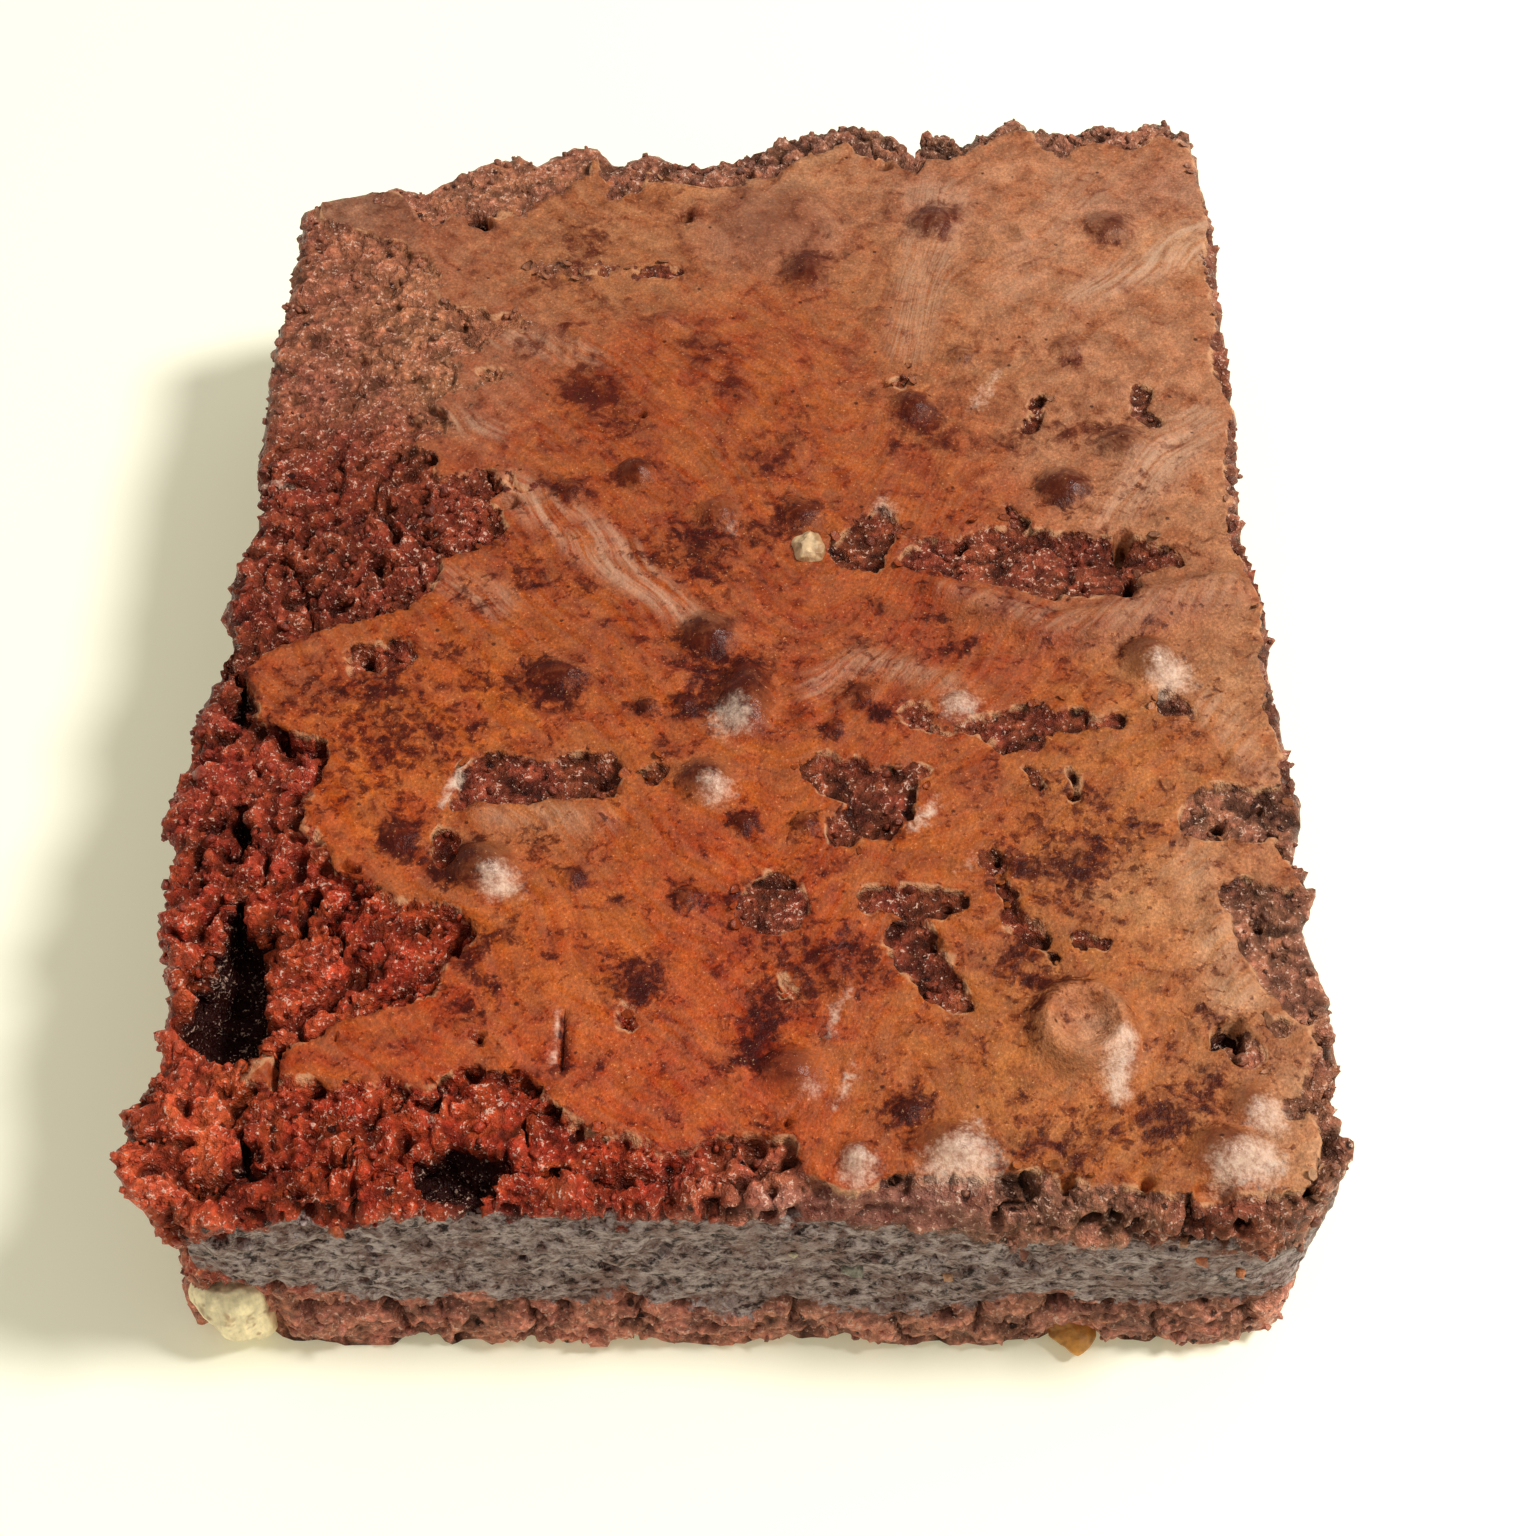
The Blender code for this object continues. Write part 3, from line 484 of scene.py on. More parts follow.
# %% [markdown]
# ## The side walls
# The near wall shows the knife's work: it smeared the soft crumb to a grey, even face, and left it torn above
# and below. Two lines give the top and bottom of that face, and a list gives its torn pits and the breaks
# that the nuts sit in. The left and far walls broke, so they are pinched in under the skin, and the foot is
# ragged all round. Each could be modelled alone, but offsets that depend on the height and on which way a
# wall faces serve all four walls, and fade into each other round the corners.

# %% Walls
# The cut's lines are rows of x and height. Breaks and pits are x, height, reach and depth.
CUT_TOP = [
    (-36, 11.5), (-34, 13.5), (-31, 17.3), (-27, 17.8), (-23, 16.5), (-20, 18.7), (-15, 18.5), (-8, 17.7),
    (-3, 17.2), (6, 17.2), (12, 16.3), (15, 15.6), (20, 16.1), (27, 15.6), (32, 13.8), (35, 12),
]
CUT_BOTTOM = [
    (-34, 12), (-31, 9.2), (-27, 7.8), (-24, 6.2), (-19.5, 5.8), (-17, 7.6), (-14.5, 5.6), (-10, 5.5),
    (-7.5, 6.9), (-2, 4.8), (0.5, 4.7), (3, 6.4), (6, 4.6), (12, 4.5), (16, 6), (19, 7.4), (23, 5.5),
    (27, 6.2), (34, 6.4),
]
NUT_BREAKS = [(-31.8, 2.6, 4.2, 1.2), (-31.4, 6, 2.6, 1.1), (21, 1, 2.4, 0.9)]
CUT_PITS = [
    (20.6, 18.4, 0.9, 1.3), (26.6, 18.6, 1, 1.3), (29.4, 18, 0.8, 1.2), (31.2, 19.2, 0.6, 0.9),
    (1.6, 17.9, 0.7, 1.3), (3, 17.4, 0.5, 0.9), (-7.6, 18, 0.6, 1), (-17.4, 18.6, 0.5, 0.8),
    (24, 17, 0.5, 0.9), (23.4, 18.9, 0.5, 1), (-5.4, 11.4, 0.5, 1), (-25.6, 11.6, 0.4, 0.8),
    (-11, 9.6, 0.3, 0.6), (17.8, 11.4, 0.5, 0.6), (5.6, 8.2, 0.35, 0.6), (-8.2, 10.7, 0.8, 1.3),
    (-28.8, 8.5, 0.7, 1), (-27.2, 8.3, 0.5, 0.9), (-23.2, 9, 0.6, 1), (-13.3, 12.2, 0.4, 0.8),
    (-31, 16, 0.9, 1.2), (-29.6, 15.2, 0.6, 0.9), (19.6, 6.2, 0.9, 1.4), (22.8, 6, 0.5, 0.9),
    (14, 10.4, 0.9, 0.6), (16.6, 12.6, 1, 0.5), (-1.8, 9.2, 0.4, 0.7), (-4.6, 12.8, 0.4, 0.8),
    (-19, 14.2, 0.3, 0.6), (-22.4, 13.6, 0.3, 0.6), (8, 14.2, 0.4, 0.7), (11.6, 12.2, 0.4, 0.7),
    (25.6, 14.6, 0.4, 0.8), (-16, 17.4, 0.4, 0.8), (3.2, 15.8, 0.4, 0.7),
]
print(len(CUT_PITS), "pits and", len(NUT_BREAKS), "breaks in the near wall")
RIGHT_CUT = (5.0, 15.5)
WAIST_HEIGHT, WAIST_SPREAD = 11.0, 4.5
LEFT_WAIST, LEFT_CORNER_WAIST, FAR_WAIST = 0.9, 1.4, 0.8
FOOT_ROUNDING, BASE_BAND_STEP, TOP_LIP_STEP = 0.9, 0.4, 0.45


def cut_face(x, y, z, out_x, out_y):
    """Distance into the smeared knife cut on the near and right walls, in mm, negative outside it."""
    place = np.stack([x, y, z], axis=-1)
    fray = waver(place, (0.55, 2.6, 81), (0.35, 1.1, 82), (0.2, 0.5, 83))
    on_near = np.minimum(read_edge(CUT_TOP, x) - z, z - read_edge(CUT_BOTTOM, x))
    on_right = np.minimum(RIGHT_CUT[1] - z, z - RIGHT_CUT[0])
    near, right = np.clip(-out_y, 0, 1), np.clip(out_x, 0, 1)
    inside = np.where(near > right, on_near, on_right) + fray
    return np.where(np.maximum(near, right) > 0.45, inside, -3.0)


def pits_in_wall(x, z, drag, pits):
    """Depth in mm of round pits in the near wall, their outlines frayed by the knife's drag."""
    depth = np.zeros(len(x))
    for pit_x, pit_z, reach, deep in pits:
        away = np.hypot(x - pit_x, (z - pit_z) * 0.8) + 0.25 * drag
        depth = np.maximum(depth, deep * ease(1.0, 0.5, away / reach))
    return depth


def wall_offset(x, y, z, out_x, out_y):
    """How far a wall stands out at each height: waist, torn lip over the cut, base band and ragged foot."""
    waist = np.exp(-(((z - WAIST_HEIGHT) / WAIST_SPREAD) ** 2))
    left, far, near = np.clip(-out_x, 0, 1), np.clip(out_y, 0, 1), np.clip(-out_y, 0, 1)
    corner = np.exp(-(((y - NEAR_Y) / 7) ** 2))
    pinch = left * (LEFT_WAIST + LEFT_CORNER_WAIST * corner) + far * FAR_WAIST
    band = near * BASE_BAND_STEP * ease(6, 4, z)
    lip = near * TOP_LIP_STEP * ease(-0.6, 0.5, z - read_edge(CUT_TOP, x))
    chips = 0.55 + 0.75 * drift(flat(x, y), 2.3, 91) + 0.4 * drift(flat(x, y), 0.9, 92)
    foot = FOOT_ROUNDING * np.clip(chips, 0, 1.6) * ease(1.8, 0, z) ** 1.5
    return band + lip - pinch * waist - foot


# %% [markdown]
# ## Torn crumb
# Where the slab broke, the crumb shows clods of every size down to sugar grains, with creases and small gas
# pores between them. Grains alone would look like beads, so the finer clods are billows: the size of a
# smooth noise, whose sign changes make the creases. Each point moves along its own normal, so the relief
# works on the top and on the walls alike.

# %% Relief of the crumb
COARSE_CRUMB, FINE_CRUMB, CRUMB_LEVEL = (4.4, 1.7), (1.9, 0.5), 1.42
CLODS = [(2.6, 0.34, 51), (1.3, 0.26, 54), (0.66, 0.23, 57), (0.42, 0.18, 60)]
CRACK_SIZE, CRACK_DEPTH = 4.0, 1.2
PORE_SIZE, PORE_DEPTH = 2.5, 1.2
CLOD_GAIN, CLOD_LEVEL = 2.6, 0.65
PORE_WALL, CRACK_WALL = (0.36, 0.16), (0.085, 0.0)


def crumb_relief(points, coarse_share, fine_share):
    """How far each point moves out, and how high it stands among its neighbours, from 0 in creases to 1.

    Coarse lumps are one less the squared distance to the nearest seed point. Finer clods are the absolute
    value of drift. Both are read at points that another drift has bent. A pore is a pit round a seed point,
    and a crack runs where a slow drift changes sign.
    """
    bend = [waver(points, (0.50, 1.3, 41 + axis), (0.22, 0.55, 45 + axis)) for axis in range(3)]
    bent = points + np.stack(bend, axis=-1)
    lump, knob = grains(bent, COARSE_CRUMB[0], 21), grains(bent, FINE_CRUMB[0], 31)
    relief = coarse_share * (COARSE_CRUMB[1] * (1 - lump**2) + FINE_CRUMB[1] * (1 - knob**2) - CRUMB_LEVEL)
    billows = [(rise, abs(drift(bent, size, seed))) for size, rise, seed in CLODS]
    fine = sum(rise * (CLOD_GAIN * billow - CLOD_LEVEL) for rise, billow in billows)
    hole = ease(*PORE_WALL, grains(bent, PORE_SIZE, 71))
    crack = ease(*CRACK_WALL, abs(drift(bent, CRACK_SIZE, 75)))
    standing = np.clip(0.5 + 0.7 * fine, 0, 1) * (1 - 0.8 * np.maximum(hole, crack))
    return relief + fine_share * (fine - PORE_DEPTH * hole - CRACK_DEPTH * crack), standing


# %% [markdown]
# ## Tones
# Oven heat coloured the top unevenly: it is orange in the middle and redder near the knife. Far off and at
# the right it is paler and pinker, partly its own colour and partly painted sheen of the window's light seen
# at a low angle. A painted picture would do it, but it would fit only one slab. Here each tone is a colour
# matched to the real one and laid down in a few soft-edged discs, x, y and reach, and a point takes the mean
# of the tones that reach it.

# %% Tones of the skin
def linear(code):
    """The linear colour of an sRGB hex code."""
    parts = [int(code[i : i + 2], 16) / 255 for i in (1, 3, 5)]
    return [c / 12.92 if c <= 0.04045 else ((c + 0.055) / 1.055) ** 2.4 for c in parts]


SKIN_BASE = "#943c12"
SKIN_TONES = {
    "#9e3803": [(-10, -38, 8), (-2, -41, 8), (-21, -37.5, 5), (4, -43, 6), (1, -32, 6), (-2, -24, 5)],
    "#b0500c": [(-26, -18, 4), (-20, -14, 4), (-12, -30, 4)],
    "#9b4509": [(-11, -25, 6), (-15, -12, 8), (2, -18, 6), (-9, -33, 5), (13, -24, 5), (10, -34, 4)],
    "#8f3c0e": [(8, 10, 8), (-6, 14, 8), (2, 22, 7), (12, 8, 6), (-10, 3, 8), (14, -14, 7), (4, 4, 5)],
    "#8c3307": [(8, -5, 6), (14, -9, 5), (-4, 0, 5), (5, -12, 4), (17, -8, 4), (-7, -9, 4), (-6, 21, 4)],
    "#9d5a28": [
        (22, -22, 6), (15, -39, 7), (24, -31, 6), (29, -16, 6), (10, -40, 4), (26, -12, 5), (24, -40, 6),
    ],
    "#9a6a4c": [
        (31, -9, 5), (29, -27, 3), (32, -33, 5), (33, -42, 5), (31, 3, 5), (31, -22, 3), (34, -12, 5),
    ],
    "#a06e52": [
        (27, 22, 9), (33, 30, 8), (20, 40, 9), (31, 12, 7), (30, 42, 8), (6, 43, 7), (24, 12, 5),
        (22, 29, 7),
    ],
    "#96603f": [
        (-12, 38, 7), (-8, 30, 6), (2, 37, 6), (-13, -20.6, 3.5), (16, 18, 6), (-16, 31, 5), (12, 28, 7),
    ],
    "#7a5c4e": [(-33, 40, 5), (-30, 38, 4), (-35, 35, 4), (-27, 41, 4)],
    "#8e5640": [(-25, 34, 7), (-30, 35, 4), (-21, 17, 4), (-30, 30, 5), (-20, 24, 5)],
    "#864831": [
        (18, -4.2, 3), (24, -4.4, 3), (29, -2.8, 3), (8, -8, 2.2), (12, -9, 2), (-12, -8.4, 2), (1, 37, 5),
    ],
    "#b8917a": [(20.7, -36.6, 2.4), (21.4, -37.4, 1.6)],
    "#85583c": [(-16.8, -24.4, 1.8), (26.6, -7.6, 1.6), (-2.5, -5, 1.4), (-3, -17.4, 1.3)],
    # Painted sheen: pale sandy patches near the right edge, where the window's light glances off the skin.
    "#cfa077": [
        (28.3, -26, 1.7), (28.6, -30.5, 1.7), (29.9, -34.6, 1.6), (31.5, -10.5, 1.7), (34, -46, 2),
        (34, -41, 1.3),
    ],
    "#94675a": [(2, 38, 4), (0, 34, 3), (5, 34, 2.5), (14.5, 38, 3), (28, 37, 2.5), (33, 40, 3)],
    # Painted sheen too: pale patches of glancing light near the right edge and far off.
    "#b98a62": [(33.5, 33, 3), (24, -27, 2.5), (-5, 42, 3), (3, 42, 4)],
}

# %% Tones of the crumb
CRUMB_BASE = "#7d3a24"
CRUMB_TONES = {
    "#a0341a": [(-32, -29, 6), (-24, -31, 7), (-20, -45, 8), (-26, -43, 6), (-10, -44, 7), (0, -44, 5)],
    "#c2502e": [(-33, -42, 5), (-27, -36, 4), (-36, -44, 4)],
    "#983622": [(-32, -18, 5), (-33, -24, 4)],
    "#b0704f": [(-24, 33, 6), (-25, 26, 6), (-18, 42, 6), (-20, 17, 5)],
    "#985942": [(-33, 27, 7), (-31, 19, 5), (-33, 36, 6)],
    "#80321f": [(-30, 3, 8), (-24, 5, 7), (-30, 9, 5), (-33, -3, 6)],
    "#8f5844": [(-20, 43, 7), (-8, 45, 7), (34, 10, 5), (35, 30, 6), (35, -12, 5)],
    "#99654e": [(8, 47, 8), (22, 48, 8), (34, 47, 6), (10, -47.6, 5), (2, -47.8, 4), (18, -47.8, 5)],
    "#7e3926": [
        (20, 1, 5), (12, 2, 3), (-15, -18, 3), (7, -21, 3), (18, -14, 3), (10, -30, 3), (2, -27.6, 2.5),
    ],
    "#97624a": [(33, -30, 4), (32, -21, 3), (35, -36, 4), (35, -44, 4)],
}
# The walls' crumb blends to this tone below 11 mm: a duller baked base, made paler as painted light from the
# bright table below.
FOOT_TONE = "#c68068"
print(len(SKIN_TONES), "tones of skin and", len(CRUMB_TONES), "tones of crumb")

# %% [markdown]
# Near-white painted highlights stand for the window's glints on blister tops and lit crater walls, and pale
# streaks follow the batter's flow. Dark spots mark where the skin sank onto moist crumb, and a few are
# painted shade on the sides of domes turned from the light and in a slit. All three are swept discs or soft
# spots with a strength.

# %% Painted highlights, flows, and toasted and shaded spots
# Marks and flows are a strength, and discs as x, y and radius. Spots are x, y, reach and strength.
# Painted highlights: near-white marks where the window glints on blisters, front bumps and crater walls.
PAINTED_HIGHLIGHTS = [
    (0.9, [(-19.5, -20, 0.2), (-18.9, -18.4, 0.28), (-18.2, -16, 0.15)]), (0.3, [(-12.8, -16, 0.2)]),
    (0.9, [(12.5, -18.8, 0.1), (12.1, -20.6, 0.28), (10.4, -22.2, 0.2)]),
    (0.8, [(5.4, -37.2, 0.12), (5.8, -35.2, 0.25), (6.9, -33.6, 0.1)]),
    (0.8, [(7, -38.6, 0.1), (6.2, -40.6, 0.25), (5.2, -42, 0.1)]),
    (0.7, [(14.8, -23.8, 0.1), (14.2, -25, 0.25), (13, -25.4, 0.1)]), (0.75, [(6.8, -46, 1.4)]),
    (0.75, [(11.2, -45.8, 1.2), (13.6, -45.4, 1.9)]), (0.45, [(13.8, -43.4, 1.2)]),
    (0.75, [(28.2, -46.2, 1.3), (30.4, -45.6, 1.8)]), (0.7, [(31.2, -42.6, 1.5)]),
    (0.75, [(-0.9, -13.2, 1.7)]), (0.8, [(28.6, -9.5, 1.9)]), (0.8, [(-15.2, -26.2, 1.5)]),
    (0.65, [(-1.7, -18.9, 1.4)]), (0.8, [(22, -39.6, 0.8), (22.9, -37.8, 1), (22.4, -41, 0.9)]),
    (0.65, [(14.3, -11.9, 1.6)]),
    (0.8, [(-11.15, -35.6, 0.05), (-11.35, -37.6, 0.1), (-11.15, -39.6, 0.05)]),
    (0.5, [(16.8, 16, 0.8), (18.6, 19.4, 0.6)]), (0.5, [(9.6, 6.2, 0.9), (10.8, 5.4, 0.5)]),
    (0.6, [(-34.4, 8.6, 0.3), (-32.2, 8.2, 0.4)]), (0.5, [(4.2, -40.6, 0.8)]), (0.5, [(-0.8, 3.8, 0.5)]),
]
PALE_FLOWS = [
    (0.7, [(25, 4, 0.8), (29, 9, 2), (33, 14, 1.6)]),
    (0.95, [(24.5, 27, 0.5), (30, 30.5, 1.4), (35, 34, 2.2)]),
    (0.8, [(-17, 8, 1.2), (-10, 2, 1.8), (-4, -4, 0.8)]), (0.5, [(12, 22, 1.5), (15, 38, 2.5)]),
    (0.3, [(20, 28, 1.5), (26, 40, 2.5)]), (0.45, [(14, -2, 0.6), (22, -5, 1.2), (33, -2, 1.2)]),
    (0.6, [(4.4, -10.6, 0.8), (8, -8, 0.9), (14, -10, 0.6)]), (0.6, [(-26, 2, 0.8), (-17, -3, 1.2)]),
    (0.7, [(-27, 18, 0.5), (-22, 15, 0.9), (-18, 13.4, 0.4)]), (0.5, [(-20, 24, 1), (-12, 21, 1.2)]),
    (0.5, [(28.5, -24, 1), (30, -34, 1.4)]), (0.5, [(31, -12, 1.2), (34, -18, 1)]),
    (0.5, [(-16, -20.6, 0.8), (-9, -21.4, 0.8)]),
]
# Mostly the skin's own toasted spots; the rows marked below are painted shade.
TOAST_AND_SHADE_SPOTS = [
    (-3, -6.8, 2.4, 0.9), (-1.4, -11.5, 2.4, 0.9), (0.2, -9, 1.6, 0.7), (-12.6, -10.2, 2.2, 1),
    (-15, -9.8, 1.4, 0.6), (-6.6, -12.2, 1.1, 0.9), (-4, -11.9, 1.1, 0.8), (-3.6, -18.2, 1.5, 0.8),
    (-22, -22.6, 1.8, 0.9), (-17.8, -25, 1.8, 0.8), (-6.6, -33.2, 2, 1.2), (-3.4, -27, 1.3, 0.9),
    (-10.8, -25.8, 0.9, 0.8), (-7.6, -27, 0.6, 1), (1.8, -27.6, 2.6, 0.8), (4, -21.6, 1.2, 0.9),
    (0, -21.4, 1.1, 1), (-13, -22.8, 1.2, 0.7), (7.8, -10.6, 1.6, 0.9), (6, -13.8, 1, 0.9),
    (9, -12.6, 0.9, 0.7), (13.2, -4.2, 1, 0.9), (14.6, -6.2, 1.2, 0.7), (2.6, -6.6, 0.7, 0.8),
    (8.8, -3.2, 0.8, 0.7), (8, -6.6, 1, 0.6), (-2.6, 3, 2.4, 0.8), (-3, -0.4, 2, 0.6),
    (-6.5, 1.8, 1.8, 0.6), (3.8, 5.2, 1.9, 1), (1.2, 3.6, 1.4, 0.7), (-8.4, 8.6, 1.4, 1),
    (-12.8, 7.4, 1.4, 0.9), (-14.8, 9, 0.7, 0.6), (-12.4, 17.8, 2.2, 0.7), (-10.6, 16.6, 2.6, 0.7),
    (-12.4, 20.6, 1.6, 0.5), (-16.4, 22, 1.6, 0.7), (-13.4, 23.4, 1.4, 0.6), (-8.6, 13.4, 1.4, 0.6),
    (-3.6, 21.6, 2.2, 0.7), (-1.2, 18, 1.8, 0.5), (3, 13.2, 2.2, 0.5), (1.6, 10, 1.8, 0.5),
    (12.2, 15, 2, 1.1), (14.2, 12.8, 1.4, 0.8), (10.8, 11.8, 0.7, 0.8), (14.2, 8, 0.8, 0.6),
    (22.6, 7.2, 2, 1.1), (26.6, 12.6, 1.8, 0.9), (24, 20.8, 1.4, 0.7), (20.6, 21.8, 1.2, 0.5),
    (16, 21, 1.5, 0.6), (4.4, 30.2, 2.2, 1), (14.5, 35.4, 2.2, 0.9), (28.2, 35.2, 2, 0.7),
    (-4.6, 36.4, 1.4, 0.7), (-12.6, 34, 2.4, 0.6), (-11, 27, 1.8, 0.5), (20, 12.6, 1.6, 0.5),
    (23.5, 13.2, 1.4, 0.6), (28, 7.6, 1.4, 0.5), (30.6, 16, 0.8, 0.6), (9, 17.4, 0.9, 0.5),
    (-24, -12, 3.5, 0.55), (-24.5, -17, 3.5, 0.45), (-20, -14.6, 3, 0.45), (-18, -9.6, 1.2, 0.8),
    (-17.6, -13.4, 0.7, 0.8), (-19.4, -7.2, 1.2, 0.5), (-29, -11, 2.4, 0.5), (-15.2, -0.6, 1.8, 0.6),
    (-19, -2.2, 1.4, 0.5), (-11, -1.2, 1.4, 0.5), (20, -23.2, 3.4, 0.45), (24.6, -22.8, 2.8, 0.45),
    (18.6, -25.4, 2, 0.5), (21.8, -26.2, 1.8, 0.4), (19.2, -18.4, 1.2, 0.7), (21.4, -18.6, 1, 0.8),
    (28.5, -35.5, 1.4, 0.6), (25, -43.4, 1.5, 0.9), (21.2, -43.6, 1.6, 0.5), (9.8, -42, 1.4, 1),
    (27, -40.6, 2.4, 0.6), (17, -41.2, 0.8, 0.6), (13.8, -38.6, 0.8, 0.5), (0.6, -37.8, 1.8, 0.7),
    (3, -32.8, 2.8, 0.6), (6.2, -31.6, 2.4, 0.55), (1.2, -35.4, 1.6, 0.7), (2, -43.8, 2, 0.6),
    # Painted shade from here to the slit's last point at (-10.9, -39.3), all but the small spot at the ring
    # dome's middle: dark arcs on the sides of the ring dome and of the blisters at (-16.6, -24.8) and (27.3,
    # -8) turned from the window, and a dark line down the slit near x -11.
    (21.2, -33.5, 0.6, 0.6), (19.9, -33.6, 0.6, 0.8), (18.7, -34.2, 0.6, 0.9), (17.9, -35.3, 0.6, 0.9),
    (17.6, -36.6, 0.6, 0.8), (17.9, -37.9, 0.6, 0.6), (20.9, -36.3, 0.45, 0.5), (-17, -22.6, 0.6, 0.7),
    (-18.1, -23.1, 0.6, 0.8), (-18.7, -24, 0.6, 0.8), (-18.8, -25.2, 0.6, 0.6), (26.9, -6, 0.6, 0.6),
    (25.9, -6.5, 0.6, 0.8), (25.3, -7.5, 0.6, 0.8), (25.4, -8.6, 0.6, 0.6), (-10.9, -35.8, 0.3, 1.3),
    (-10.95, -36.5, 0.3, 1.3), (-11, -37.2, 0.3, 1.3), (-11.05, -37.9, 0.3, 1.3), (-11, -38.6, 0.3, 1.3),
    (-10.9, -39.3, 0.3, 1.3), (-14.3, -30.7, 0.5, 0.7), (-15.2, -30.4, 0.5, 0.9), (-16.1, -30.7, 0.5, 1),
    (-16.7, -31.3, 0.5, 1), (-16.9, -32.2, 0.5, 1), (-16.7, -33.1, 0.5, 0.9), (-16.1, -33.7, 0.5, 0.9),
    (-15.2, -33.9, 0.5, 0.8), (-14.3, -33.7, 0.5, 0.6), (-1, -39.2, 1, 0.6), (-14.4, -29.6, 1.4, 0.6),
    (-11.6, -42.2, 1.6, 0.6), (-16.6, -35.6, 1.4, 0.7), (17.2, -32.6, 2.4, 0.6), (18, -45.4, 3, 0.6),
    (7.5, -44.2, 1.2, 0.3), (-14.2, 30.2, 2.4, 0.5),
]
print(len(PAINTED_HIGHLIGHTS), "pale marks,", len(PALE_FLOWS), "flows,", len(TOAST_AND_SHADE_SPOTS), "toasted spots")


# %% Reading the tones
def blend_tones(x, y, base, tones, base_weight=0.12):
    """Mean of the tones in linear light, each weighted by exp(-d * d / r * r) of its discs."""
    total = np.full(len(x), base_weight)
    mixed = np.outer(total, linear(base))
    for code, discs in tones.items():
        for cx, cy, reach in discs:
            weight = np.exp(-((x - cx) ** 2 + (y - cy) ** 2) / reach**2) * min(1.0, 6 / reach) ** 0.5
            total += weight
            mixed += np.outer(weight, linear(code))
    return mixed / total[:, None]


SPOT_POWER = 1.3


def toast_and_shade_amount(x, y):
    """How sunk and dark the skin is, some spots being painted shade: the sum of soft spots with wandering
    outlines.
    """
    place = flat(x, y)
    wander_x, wander_y = 0.5 * drift(place, 1.6, 101), 0.5 * drift(place, 1.6, 102)
    amount = np.zeros(len(x))
    for cx, cy, reach, strength in TOAST_AND_SHADE_SPOTS:
        away = ((x + wander_x - cx) ** 2 + (y + wander_y - cy) ** 2) / reach**2
        amount += strength * np.exp(-(away**SPOT_POWER))
    return np.clip(amount, 0, 1.3)


def painted_highlights(x, y):
    """Painted highlights, nearly white, for the window's glints on blisters and lit crater walls, with frayed
    outlines.
    """
    fray = 0.3 * drift(flat(x, y), 0.5, 141)
    amount = np.zeros(len(x))
    for strength, discs in PAINTED_HIGHLIGHTS:
        width = max(radius for _, _, radius in discs)
        away = swept(x, y, discs) + fray * min(1, 2 * width)
        amount = np.maximum(amount, strength * ease(0.1 + 0.45 * width, -0.8 * width, away))
    return amount


def flow_field(x, y):
    """Across and along the batter's flow, in metres, and how much it shows.

    The flow runs down to the right on the left half and up to the right on the right half, and its lines
    wander with a slow drift. Along is shortened, so that a round noise read there is drawn out to streaks.
    """
    turn = np.radians(-48 + 98 * ease(2, 16, x))
    slow = flat(x + 40, y)
    across = y * np.cos(turn) - x * np.sin(turn) + 1.6 * drift(slow, 9.0, 131) + 0.5 * drift(slow, 3.0, 132)
    along = 0.07 * (x * np.cos(turn) + y * np.sin(turn))
    shown = np.full(len(x), 0.12)
    for strength, discs in PALE_FLOWS:
        shown = np.maximum(shown, strength * ease(1.2, -0.8, swept(x, y, discs)))
    return np.stack([across, along, np.zeros(len(x))], axis=-1) * MM, shown


# %% [markdown]
# ## The slab as one closed surface
# The top is a grid over the plan, the walls are rings that hang from the grid's border, and one flat face
# closes the underside. The grid is fine all over, and a Decimate modifier then thins it where the skin is
# smooth, so that the triangles are kept for the crumb.

# %% The grid and its rings
GRID_STEP = 0.205
WALL_ROWS = 66


def slab_surface():
    """Points and faces of the whole slab, with what each point has to know for its relief and finish."""
    across = int(WIDTH / GRID_STEP)
    along = int((FAR_Y - NEAR_Y) / GRID_STEP)
    u, v = np.meshgrid(np.linspace(-1, 1, across + 1), np.linspace(-1, 1, along + 1))
    index = np.arange(u.size).reshape(u.shape)
    rim = np.concatenate([index[0, :-1], index[:-1, -1], index[-1, :0:-1], index[:0:-1, 0]])
    u, v = u.ravel(), v.ravel()
    levels = 1 - np.linspace(0, 1, WALL_ROWS + 1)[1:]
    all_u = np.concatenate([u] + [u[rim]] * WALL_ROWS)
    all_v = np.concatenate([v] + [v[rim]] * WALL_ROWS)
    raised = np.concatenate([np.ones(u.size), np.repeat(levels, len(rim))])
    quads = np.stack([index[:-1, :-1], index[:-1, 1:], index[1:, 1:], index[1:, :-1]], axis=-1).reshape(-1, 4)
    rings = np.vstack([rim] + [u.size + row * len(rim) + np.arange(len(rim)) for row in range(WALL_ROWS)])
    upper, lower = rings[:-1], rings[1:]
    walls = np.stack([lower, np.roll(lower, -1, 1), np.roll(upper, -1, 1), upper], axis=-1).reshape(-1, 4)
    return all_u, all_v, raised, np.vstack([quads, walls]), rings[-1][None, ::-1]


